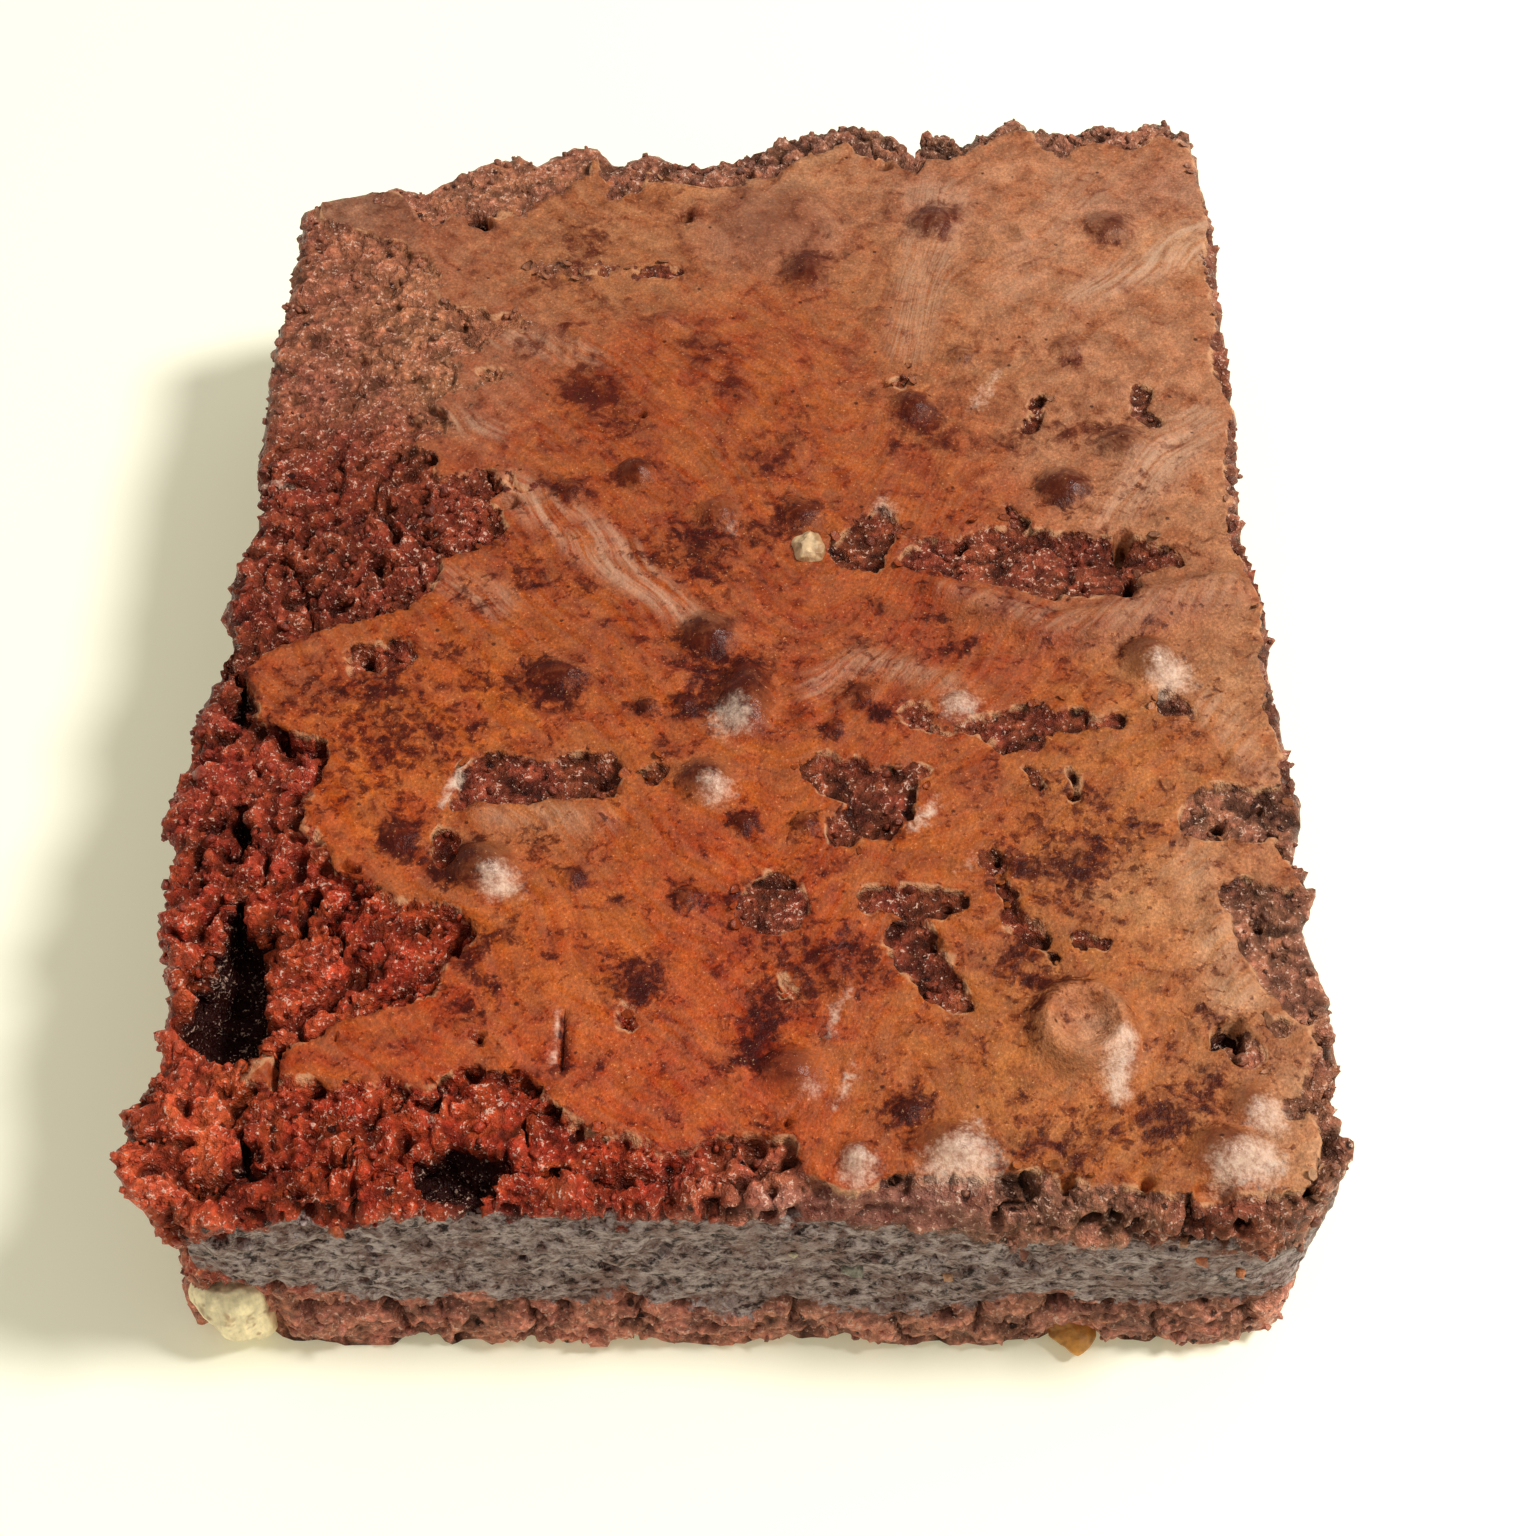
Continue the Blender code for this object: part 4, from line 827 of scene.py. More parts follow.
# %% Writing and reading meshes
def mesh_from(name, points, *face_sets):
    """A mesh in metres from points in millimetres. Each set holds faces with the same number of corners."""
    mesh = bpy.data.meshes.new(name)
    loops = np.concatenate([faces.ravel() for faces in face_sets])
    sizes = np.concatenate([np.full(len(faces), faces.shape[1]) for faces in face_sets])
    mesh.vertices.add(len(points))
    mesh.vertices.foreach_set("co", (points * MM).ravel())
    mesh.loops.add(len(loops))
    mesh.loops.foreach_set("vertex_index", loops.astype(np.int32))
    mesh.polygons.add(len(sizes))
    mesh.polygons.foreach_set("loop_start", (np.cumsum(sizes) - sizes).astype(np.int32))
    mesh.update(calc_edges=True)
    mesh.shade_smooth()
    return mesh


def read_normals(mesh):
    """The mesh's normals at its points."""
    found = np.empty(len(mesh.vertices) * 3, np.float32)
    mesh.vertex_normals.foreach_get("vector", found)
    return found.reshape(-1, 3).astype(float)


def store(mesh, name, values):
    """Keeps one number, or one colour, for each point of the mesh."""
    if values.ndim == 1:
        mesh.attributes.new(name, "FLOAT", "POINT").data.foreach_set("value", values.astype(np.float32))
    else:
        colours = np.hstack([values, np.ones((len(values), 1))]).astype(np.float32)
        mesh.attributes.new(name, "FLOAT_COLOR", "POINT").data.foreach_set("color", colours.ravel())


# %% Shaping the slab
FOOT_PULL, PULL_HEIGHTS = 0.15, (4, 13)

all_u, all_v, raised, quads, underside = slab_surface()
x, y, out_x, out_y = plan_of(all_u, all_v)
pull_x, pull_y = ragged_pull(x, y, FOOT_PULL + (1 - FOOT_PULL) * ease(*PULL_HEIGHTS, raised * HEIGHT))
x, y = x + pull_x, y + pull_y
top_z, skin_distance, bare_depth, cratered, well_depth = top_height(x, y)
on_top = raised > AT_RIM
z = raised * top_z
side = (abs(all_u) > AT_RIM) | (abs(all_v) > AT_RIM)
offset = np.where(side, wall_offset(x, y, z, out_x, out_y), 0.0) * ease(1.0, 0.93, raised)
x, y = x + out_x * offset, y + out_y * offset
points = np.stack([x, y, z], axis=-1)
print("plain slab: from", points.min(0).round(1), "to", points.max(0).round(1), "mm")

# %% [markdown]
# The relief is strongest on torn ground, weak in wells and burst bubbles, and almost nothing on the knife's
# film, so each point first gets its share of coarse clods and of fine ones. A short band over the cut, where
# the blade pressed the crumb flat, is smoother too.

# %% How strong the relief is
TORN_NEAR, TORN_RIGHT, TORN_FOOT, TORN_LIP = 0.2, 0.15, 0.3, 0.45
COARSE_ON_SKIN, COARSE_WHEN_BARE, FINE_ON_WALLS = 0.06, 0.7, 0.8

left, right = np.clip(-out_x, 0, 1), np.clip(out_x, 0, 1)
near, far = np.clip(-out_y, 0, 1), np.clip(out_y, 0, 1)
cut = cut_face(x, y, z, out_x, out_y)
smeared = ease(-0.3, 0.4, cut) * ~on_top
wall_torn = np.maximum.reduce([left, far, TORN_NEAR * near, TORN_RIGHT * right])
wall_torn = np.maximum(wall_torn, TORN_FOOT * ease(6, 3.5, z))
lip_torn = TORN_LIP * near * ease(-0.6, 0.6, z - read_edge(CUT_TOP, x))
broken_up = half_bare(x, y)
on_top_coarse = np.maximum(COARSE_ON_SKIN, COARSE_WHEN_BARE * np.clip(bare_depth, 0, 1))
on_top_coarse = on_top_coarse * (1 - 0.7 * broken_up) * (1 - 0.6 * cratered)
coarse = np.where(on_top, on_top_coarse, np.maximum(wall_torn, lip_torn))
coarse = coarse * (1 - 0.85 * smeared) * ease(0.0, 0.8, z) * (1 - 0.9 * ease(0.05, 0.7, well_depth))
bare = ease(0.05, -0.25, skin_distance)
smooth_band = ease(-1.5, 1.5, x) * ease(-46.2, -47.2, y) * ease(16.2, 17.2, z) * ease(16, 12, x)
on_top_fine = bare * (1 - 0.68 * broken_up) * (1 - 0.78 * cratered) * (1 - 0.35 * ease(36, 44, y))
fine = np.where(on_top, on_top_fine, FINE_ON_WALLS - 0.7 * smeared) * (1 - 0.6 * smooth_band)
fine *= ease(0.0, 0.6, z) * (1 - 0.5 * ease(0.1, 1.0, well_depth)) * (1 - 0.75 * right) * (1 - 0.45 * far)
fine *= (1 - 0.15 * ease(8, 4, z)) * (1 - 0.25 * left)
print("mean share of coarse relief", coarse.mean().round(2), "and of fine", fine.mean().round(2))

# %% [markdown]
# The film gets its own relief on top: scratches drawn out along the cut, slow waves and torn pits. The skin
# gets a fine grain that fades on the tight blisters. No point may sink below the table.

# %% Moving the points
LOWEST, SCRATCH_DEPTH, SCRATCH_STRETCH, FULL_BLISTER = 0.02, 0.28, 2.6, 0.8

slab_mesh = mesh_from("brownie_slab", points, quads, underside)
relief, standing = crumb_relief(points, coarse, fine)
streak = np.stack([x / SCRATCH_STRETCH, y / SCRATCH_STRETCH, z], axis=-1)
drag = np.maximum(drift(streak, 0.42, 111) + 0.4 * drift(streak, 0.2, 112), 0.1) - 0.1
relief -= smeared * SCRATCH_DEPTH * drag
relief += smeared * waver(points, (0.20, 1.3, 115), (0.14, 0.6, 116))
pitted = near * pits_in_wall(x, z, drag, CUT_PITS)
relief -= np.maximum(pitted, near * pits_in_wall(x, z, drag, NUT_BREAKS))
grain = waver(points, (0.035, 0.45, 121), (0.02, 0.24, 122))
blister = np.clip(skin_forms(x, y)[1] / FULL_BLISTER, 0, 1) * on_top
relief += np.where(on_top, 1 - bare, 0) * (1 - 0.7 * blister) * grain
points += read_normals(slab_mesh) * relief[:, None]
points[:, 2] = np.where(raised < 1e-6, 0, np.maximum(points[:, 2], LOWEST))
slab_mesh.vertices.foreach_set("co", (points * MM).ravel())
slab_mesh.update()
print("slab:", len(points), "points before thinning")

# %% What the finish reads
# low: how far the foot tone, partly painted light from the table, covers the walls.
low = (0.8 * ease(11, 6, z) * ~on_top)[:, None]
flow, flow_shown = flow_field(x, y)
KEPT = {
    "skin": np.where(on_top, np.clip(skin_distance, -2, 2), np.minimum(skin_distance, -0.6)),
    "cut": np.clip(np.where(on_top, -2, cut), -2, 2),
    "standing": standing + (0.62 - standing) * 0.5 * broken_up * on_top,
    "toast": toast_and_shade_amount(x, y),
    # hollow: how deep a point lies in a well or a wall pit, which the finish paints dark as painted shade.
    "hollow": np.where(on_top, np.clip(well_depth / 2.0, 0, 1), 0.75 * np.clip(pitted, 0, 1)),
    "smooth_band": smooth_band,
    "blister": blister,
    # pale: the strength of the painted highlights.
    "pale": painted_highlights(x, y) * on_top,
    "skin_tone": blend_tones(x, y, SKIN_BASE, SKIN_TONES),
    "crumb_tone": blend_tones(x, y, CRUMB_BASE, CRUMB_TONES) * (1 - low) + low * linear(FOOT_TONE),
    "flow": flow,
    "flow_shown": flow_shown,
    "half_bare": broken_up * on_top,
    "calm": ease(-6, 24, y),
}
for name, values in KEPT.items():
    store(slab_mesh, name, values)
print("kept on the mesh:", ", ".join(KEPT))

# %% [markdown]
# Torn crumb needs small triangles and smooth skin doesn't. A finer grid only where the crumb lies would leave
# seams, so the even grid is thinned: Decimate joins the triangles that are nearly in one plane first.

# %% Thinning
SLAB_TRIANGLES = 196000


def thin_out(thing, triangles):
    """Collapses the mesh to about that many triangles, and keeps the result as the object's own mesh."""
    thing.data.calc_loop_triangles()
    before = len(thing.data.loop_triangles)
    modifier = thing.modifiers.new("thin_out", "DECIMATE")
    modifier.ratio = min(1.0, triangles / before)
    graph = bpy.context.evaluated_depsgraph_get()
    thinned = bpy.data.meshes.new_from_object(thing.evaluated_get(graph))
    thing.modifiers.clear()
    thing.data = thinned
    thinned.shade_smooth()
    thinned.calc_loop_triangles()
    print(thing.name, "thinned from", before, "to", len(thinned.loop_triangles), "triangles")


slab = bpy.data.objects.new("brownie_slab", slab_mesh)
bpy.context.scene.collection.objects.link(slab)
thin_out(slab, SLAB_TRIANGLES)
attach(slab, "root")
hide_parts("brownie")


# %% [markdown]
# ## Small closed shapes
# Loose crumbs, lifted flakes and nut chips are all bent balls: rings of points between two poles. One
# function gives the directions and the faces, and each kind moves them in its own way, a batch at a time.

# %% Balls
def ball(rows, columns):
    """Directions on a unit ball, the quads between its rings and the triangles at its poles, facing out."""
    rise = np.linspace(-math.pi / 2, math.pi / 2, rows + 2)[1:-1, None]
    turn = np.arange(columns)[None, :] * 2 * math.pi / columns
    across, up = np.cos(rise), np.sin(rise)
    rings = np.stack([across * np.cos(turn), across * np.sin(turn), up + 0 * turn], axis=-1)
    index = np.arange(rows * columns).reshape(rows, columns)
    beside = np.roll(index, -1, 1)
    quads = np.stack([index[:-1], beside[:-1], beside[1:], index[1:]], axis=-1).reshape(-1, 4)
    low, high = np.full(columns, rows * columns), np.full(columns, rows * columns + 1)
    south = np.stack([index[0], low, beside[0]], axis=-1)
    north = np.stack([index[-1], beside[-1], high], axis=-1)
    return np.vstack([rings.reshape(-1, 3), [[0, 0, -1], [0, 0, 1]]]), quads, np.vstack([south, north])


def joined(name, batches, quads, triangles):
    """One mesh from many shapes with the same faces: batches is an array of shapes by points by 3."""
    step = (np.arange(len(batches)) * batches.shape[1])[:, None, None]
    faces = (quads + step).reshape(-1, 4), (triangles + step).reshape(-1, 3)
    return mesh_from(name, batches.reshape(-1, 3), *faces)


def turned(vectors, facing, spin):
    """Vectors from a frame whose third axis is each facing, spun about it; one facing and spin per shape."""
    helper = np.where(abs(facing[:, 2:]) < 0.9, [[0.0, 0.0, 1.0]], [[1.0, 0.0, 0.0]])
    first = np.cross(helper, facing)
    first /= np.linalg.norm(first, axis=1)[:, None]
    second = np.cross(facing, first)
    along = np.cos(spin)[:, None] * first + np.sin(spin)[:, None] * second
    across = np.cross(facing, along)
    return vectors @ np.stack([along, across, facing], axis=1)


def place_piece(mesh, slot_name, *nodes):
    """The mesh as a piece that rides with the slab, standing for those solids; slot_name is not used."""
    made = bpy.data.objects.new(mesh.name, mesh)
    bpy.context.scene.collection.objects.link(made)
    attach(made, "root")
    if nodes:
        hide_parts(*nodes)
    mesh.calc_loop_triangles()
    print(mesh.name, "has", len(mesh.loop_triangles), "triangles")
    return made


# %% [markdown]
# ## Loose crumbs
# A knife and fingers leave crumbs on every broken face. They are scattered over the slab's own faces, more on
# crumb that stands high, and each is a small ball squashed and dented in its own way and half sunk into the
# surface. A particle system would do the same, but it would copy one crumb, and here no two are alike. A few
# are given one by one: the orange and pale ones that stuck to the knife face.

# %% Scattering crumbs
CRUMB_COUNT = 2200
# Each stuck crumb is x, height, radius and colour.
STUCK_CRUMBS = [
    (27.8, 12.9, 0.45, "#b4643a"), (30.3, 10.8, 0.5, "#bb7040"), (12.7, 9.9, 0.42, "#c08a62"),
    (6.8, 10.8, 0.6, "#8f8875"), (-23.6, 17, 0.4, "#a24a22"), (17, 13.4, 0.35, "#8f5540"),
    (3, 12.6, 0.25, "#b9a888"), (26, 16, 0.35, "#b9805c"),
]


def face_table(mesh):
    """Centres in mm, normals, areas and first points of the mesh's faces."""
    count = len(mesh.polygons)
    centres, normals = np.empty(count * 3, np.float32), np.empty(count * 3, np.float32)
    areas, starts = np.empty(count, np.float32), np.empty(count, np.int32)
    corners = np.empty(len(mesh.loops), np.int32)
    mesh.polygons.foreach_get("center", centres)
    mesh.polygons.foreach_get("normal", normals)
    mesh.polygons.foreach_get("area", areas)
    mesh.polygons.foreach_get("loop_start", starts)
    mesh.loops.foreach_get("vertex_index", corners)
    return centres.reshape(-1, 3) / MM, normals.reshape(-1, 3), areas, corners[starts]


def recall(mesh, name):
    """The number or the colour kept for each point of the mesh under that name."""
    kept = mesh.attributes[name]
    width = 4 if kept.data_type == "FLOAT_COLOR" else 1
    found = np.empty(len(mesh.vertices) * width, np.float32)
    kept.data.foreach_get("value" if width == 1 else "color", found)
    return found if width == 1 else found.reshape(-1, width)[:, :3]


def loose_crumbs():
    """Crumbs on the slab: for each, a ball with radii from its own dice and dents from drift."""
    random = np.random.default_rng(12)
    centres, normals, areas, corner = face_table(slab.data)
    skin_there, cut_there = recall(slab.data, "skin")[corner], recall(slab.data, "cut")[corner]
    hollow, standing_there = recall(slab.data, "hollow")[corner], recall(slab.data, "standing")[corner]
    smooth = recall(slab.data, "smooth_band")[corner]
    chance = areas * ease(0.05, -0.4, skin_there) * ease(0.5, -0.3, cut_there) * ease(0.15, 0.02, hollow)
    chance *= (0.35 + standing_there) * (1 - 0.8 * smooth) * (centres[:, 2] > 0.8)
    chance *= np.where(normals[:, 0] > 0.6, 0.3, 1.0)
    picked = random.choice(len(areas), CRUMB_COUNT, p=chance / chance.sum())
    radius = 0.12 + 0.20 * random.random(CRUMB_COUNT) ** 2 + 0.14 * (random.random(CRUMB_COUNT) > 0.94)
    tone = recall(slab.data, "crumb_tone")[corner[picked]] * random.uniform(0.55, 1.1, (CRUMB_COUNT, 1))
    for along_x, height, size, code in STUCK_CRUMBS:
        away = np.hypot(centres[:, 0] - along_x, centres[:, 2] - height) + 9 * (normals[:, 1] > -0.5)
        picked = np.append(picked, away.argmin())
        radius = np.append(radius, size)
        tone = np.vstack([tone, linear(code)])
    directions, quads, triangles = ball(4, 7)
    count = len(picked)
    shapes = directions[None] * random.uniform(0.65, 1.3, (count, 1, 3))
    dents = drift((shapes * 1.1 + random.uniform(-99, 99, (count, 1, 3))).reshape(-1, 3), 0.6, 151)
    shapes *= (1 + 0.55 * dents.reshape(count, -1))[..., None] * radius[:, None, None]
    shapes = turned(shapes, normals[picked], random.uniform(0, 2 * math.pi, count))
    shapes += (centres[picked] + normals[picked] * radius[:, None] * 0.25)[:, None, :]
    shapes[..., 2] = np.maximum(shapes[..., 2], LOWEST)
    mesh = joined("loose_crumbs", shapes, quads, triangles)
    store(mesh, "crumb_tone", np.repeat(tone, shapes.shape[1], axis=0))
    return mesh


crumbs = place_piece(loose_crumbs(), "brownie")

# %% [markdown]
# ## Lifted skin
# Where the skin tore, brittle flakes of it lie along its border and catch the light. A plane with a Solidify
# modifier would do for one, but a hundred small ones are easier as balls pressed flat with their rims curled.

# %% Flakes
FLAKE_COUNT, FLAKE_THICKNESS = 90, 0.05


def skin_flakes():
    """Flattened balls with curled edges, tipped at random, on the faces where the skin begins."""
    random = np.random.default_rng(27)
    centres, normals, areas, corner = face_table(slab.data)
    edge = recall(slab.data, "skin")[corner]
    chance = areas * np.exp(-((edge / 0.22) ** 2)) * (centres[:, 2] > 12) * ease(0.75, 0.95, normals[:, 2])
    picked = random.choice(len(areas), FLAKE_COUNT, p=chance / chance.sum())
    directions, quads, triangles = ball(5, 9)
    size = random.uniform(0.18, 0.48, (FLAKE_COUNT, 1, 1))
    narrow = size * random.uniform(0.5, 0.9, size.shape)
    shapes = directions[None] * np.concatenate([size, narrow, np.full(size.shape, FLAKE_THICKNESS)], 2)
    curl = random.uniform(0.1, 0.7, (FLAKE_COUNT, 1))
    shapes[..., 2] += curl * (shapes[..., :2] ** 2).sum(-1) / size[..., 0]
    places = directions[None] * 0.9 + random.uniform(-99, 99, (FLAKE_COUNT, 1, 3))
    wobble = drift(places.reshape(-1, 3), 0.7, 171)
    shapes[..., :2] *= (1 + 0.5 * wobble.reshape(FLAKE_COUNT, -1))[..., None]
    tip = normals[picked] + random.normal(0, 0.38, (FLAKE_COUNT, 3))
    tip /= np.linalg.norm(tip, axis=1)[:, None]
    shapes = turned(shapes, tip, random.uniform(0, 2 * math.pi, FLAKE_COUNT))
    shapes += (centres[picked] + FLAKE_THICKNESS * tip)[:, None, :]
    mesh = joined("skin_flakes", shapes, quads, triangles)
    tone = recall(slab.data, "skin_tone")[corner[picked]] * random.uniform(0.7, 1.1, (FLAKE_COUNT, 1))
    store(mesh, "skin_tone", np.repeat(tone, len(directions), axis=0))
    return mesh


flakes = place_piece(skin_flakes(), "brownie")

# %% [markdown]
# ## Walnut
# Three chips of nut show. Each keeps the form of its solid, a ball squared off by flat breaks, and gets the
# shallow furrows of a broken kernel. The corner chip is pale, and the one at the foot is steeped in syrup.

# %% Nut chips
# Each chip is its solid's node, its middle, its half sizes, its seed and its colour.
CHIPS = [
    ("walnut_corner", (-32.0, -47.0, 3.95), (3.1, 2.5, 3.9), 3, "#f4e2b2"),
    ("walnut_foot", (21.0, -47.6, 1.05), (1.6, 2.0, 1.0), 5, "#c98a3a"),
    ("walnut_top", (4.4, 2.0, 19.95), (1.3, 1.5, 0.95), 8, "#cbaa80"),
]
BREAK_COUNT, BREAK_REACH, BREAK_PRESS = 9, 0.74, 0.9


def nut_chip(name, centre, half_sizes, seed, code):
    """A ball pressed nearly flat past BREAK_REACH along seeded facings, then scaled and furrowed."""
    directions, quads, triangles = ball(60, 90)
    breaks = np.random.default_rng(seed).normal(size=(BREAK_COUNT, 3))
    breaks /= np.linalg.norm(breaks, axis=1)[:, None]
    unit = directions.copy()
    for facing in breaks:
        unit -= np.maximum(unit @ facing - BREAK_REACH, 0)[:, None] * facing * BREAK_PRESS
    unit *= (1 + 0.06 * drift(unit, 0.5, seed))[:, None]
    shape = unit * half_sizes
    furrow = 0.16 * abs(drift(shape * [1.0, 1.0, 0.45], 0.9, seed + 20))
    furrow += 0.05 * drift(shape, 0.35, seed + 30)
    shape += directions * (furrow - 0.08)[:, None]
    shape[:, 2] = np.maximum(shape[:, 2], 0.06 - centre[2])
    mesh = mesh_from("nut_" + name.split("_")[1], shape + centre, quads, triangles)
    store(mesh, "furrow", np.clip(furrow / 0.12, 0, 1))
    store(mesh, "nut_tone", np.tile(linear(code), (len(shape), 1)))
    return mesh


chips = [place_piece(nut_chip(*chip), "walnut", chip[0]) for chip in CHIPS]

# %% [markdown]
# ## Finishes
# Every finish is a chain of nodes. They could be placed by hand in the shader editor, but a chain written
# out can be read from top to bottom. One function adds a node of any kind: a table says which sockets its
# values go to, and a value that comes from another node is linked. Patterns read Object coordinates, which
# are metres here, so a pattern's scale is one over its real size.

# %% Adding nodes
NODES = {
    "place": ("TexCoord", (), {}, "Object"),
    "stored": ("Attribute", (), {}, "Fac"),
    "noise": ("TexNoise", ("Vector", "Scale", "Detail", "Roughness", "Distortion"), {}, 0),
    "cells": ("TexVoronoi", ("Vector", "Scale"), {}, 0),
    "drawn": ("Mapping", ("Vector", "Scale"), {}, 0),
    "plus": ("Math", (0, 1), {"operation": "ADD"}, 0),
    "times": ("Math", (0, 1), {"operation": "MULTIPLY"}, 0),
    "eased": (
        "MapRange", ("Value", "From Min", "From Max", "To Min", "To Max"),
        {"interpolation_type": "SMOOTHSTEP"}, 0,
    ),
    "mixed": ("Mix", (0, 6, 7), {"data_type": "RGBA"}, 2),
    "stained": ("Mix", (0, 6, 7), {"data_type": "RGBA", "blend_type": "MULTIPLY"}, 2),
    "shaded": ("HueSaturation", ("Color", "Value", "Hue"), {}, 0),
    "bump": ("Bump", ("Strength", "Distance", "Height"), {}, 0),
}
MIDDLE = (0.3, 0.7)


def add(tree, name, *values, out=None, **settings):
    """Adds a node of the named kind and gives one of its outputs.

    A value that is an output is linked, a hex code is turned to linear, and any other value is set. Values
    past the last socket go to more nodes of the same kind, each fed by the one before.
    """
    kind, sockets, usual, usual_output = NODES[name]
    made = tree.nodes.new("ShaderNode" + kind)
    for setting, value in {**usual, **settings}.items():
        setattr(made, setting, value)
    for socket, value in zip(sockets, values):
        if isinstance(value, bpy.types.NodeSocket):
            tree.links.new(value, made.inputs[socket])
        else:
            made.inputs[socket].default_value = (*linear(value), 1.0) if isinstance(value, str) else value
    found = made.outputs[usual_output if out is None else out]
    more = values[len(sockets):]
    return add(tree, name, found, *more, out=out, **settings) if more else found


def new_material(name, roughness, ior):
    """A material, the function that adds to its nodes, and its shader with its even values set."""
    made = bpy.data.materials.new(name)
    made.use_nodes = True
    shader = made.node_tree.nodes["Principled BSDF"]
    shader.inputs["Roughness"].default_value = roughness
    shader.inputs["IOR"].default_value = ior
    return made, functools.partial(add, made.node_tree), shader


def wire(shader, outputs):
    """Links each output to the shader's socket of that name."""
    for name, output in outputs.items():
        shader.id_data.links.new(output, shader.inputs[name])


def per(size_mm):
    """The scale of a pattern whose features are about that many millimetres across."""
    return 1 / (size_mm * MM)


# %% [markdown]
# ## Baked brownie
# The slab is one baked body with three faces: skin, torn crumb and the knife's film. Three materials on three
# sets of faces would meet in hard, stepped borders, so one material holds all three, and the distances kept
# on the mesh say where each begins. Five noises, from grit like sugar to mottles of a few millimetres, break
# up every colour and every border, so they are made once and shared.

# %% Grain of the bake
BAKE_NOISES = {
    "grit": (0.20, 2, 0.6), "speck": (0.55, 4, 0.65), "blot": (1.5, 4, 0.6), "mottle": (2.9, 5, 0.62, 0.9),
    "stain": (0.95, 4, 0.65, 0.6),
}
BAKE_CELLS = {"cell": 0.46, "seeds": 2.3}
BAKE_KEPT = {
    "Fac": (
        "skin", "cut", "toast", "standing", "hollow", "smooth_band", "blister", "pale", "flow_shown",
        "half_bare", "calm",
    ),
    "Color": ("skin_tone", "crumb_tone"),
    "Vector": ("flow",),
}


def read_bake(put):
    """All that the slab's finish reads, by name: its place, its noises and the values kept on the mesh."""
    place = put("place")
    read = {name: put("noise", place, per(size), *rest) for name, (size, *rest) in BAKE_NOISES.items()}
    read.update({name: put("cells", place, per(size)) for name, size in BAKE_CELLS.items()})
    for output, names in BAKE_KEPT.items():
        read.update({name: put("stored", attribute_name=name, out=output) for name in names})
    return types.SimpleNamespace(place=place, **read)


# %% [markdown]
# The skin is dried sugar and egg foam: semi-matte, with a fine grain, streaked where the batter flowed, and
# toasted, spotted and freckled where moist crumb touches it from below. Towards the far side and on the
# blisters the spots are fainter. Dark marks multiply the tone under them, so that they stay warm.

# %% Colour of the skin
def skin_colour(put, bake):
    """The skin's tone, mottled, noise-shaded, streaked, blister-darkened, toasted, spotted, freckled, pricked
    and with painted glints.
    """
    rich = put("stained", 1, bake.skin_tone, "#f1d4b5")
    dusty = put("mixed", 0.14, bake.skin_tone, "#c8803c")
    skin = put("mixed", put("eased", bake.mottle, 0.34, 0.66), rich, dusty)
    light = put(
        "times", put("eased", bake.blot, *MIDDLE, 0.8, 1.2), put("eased", bake.speck, *MIDDLE, 0.84, 1.14),
        put("eased", bake.grit, *MIDDLE, 0.8, 1.2),
    )
    skin = put("shaded", skin, light)
    streak = put("noise", bake.flow, per(0.55), 3, 0.6)
    skin = put("mixed", put("times", bake.flow_shown, put("eased", streak, 0.3, 0.68), 0.7), skin, "#cda78a")
    # The blisters are darkened: partly the thin skin's own greyer tone and partly painted shade for their
    # sides turned from the light.
    skin = put("mixed", put("times", bake.blister, 0.62), skin, "#5f2f1c")
    # The toasted spots darken the skin; where they are the arcs and slit listed as painted shade, the
    # darkening is painted shade.
    sunk = put("eased", bake.mottle, 0.52, 0.36, 0, 0.35)
    toast = put("plus", bake.toast, sunk, put("eased", bake.stain, *MIDDLE, -0.32, 0.32))
    skin = put("stained", put("eased", toast, 0.1, 1.15, 0, 0.9), skin, "#9a6350")
    crisp = put("times", put("eased", bake.calm, 0, 1, 1, 0.4), put("eased", bake.blister, 0.1, 0.7, 1, 0.25))
    spotted = put("eased", put("plus", bake.stain, put("times", toast, 0.18)), 0.56, 0.78)
    skin = put("stained", put("times", spotted, 0.5, crisp), skin, "#a0705a")
    freckled = put("eased", put("plus", bake.speck, put("times", toast, 0.22)), 0.62, 0.7)
    skin = put("stained", put("times", freckled, 0.65, crisp), skin, "#80594a")
    # Pinholes are painted near black, as painted shade in tiny pits.
    pinhole = put("eased", put("plus", bake.seeds, put("times", bake.speck, 0.09)), 0.13, 0.085)
    skin = put("mixed", put("times", pinhole, 0.8), skin, "#2c0c04")
    # Painted glints: the highest grains of grit are lightened, as sparks of light on the skin.
    return put("mixed", put("times", put("eased", bake.grit, 0.66, 0.74), 0.4), skin, "#e3ae7c")


# %% [markdown]
# The crumb is fudgy chocolate, moist and a little greasy. Painted shade darkens its creases, pores and wells,
# painted light makes its peaks paler, and painted glints stand for light caught by sugar grains. Just over
# the knife cut a smooth band of it was pressed flat by the blade.

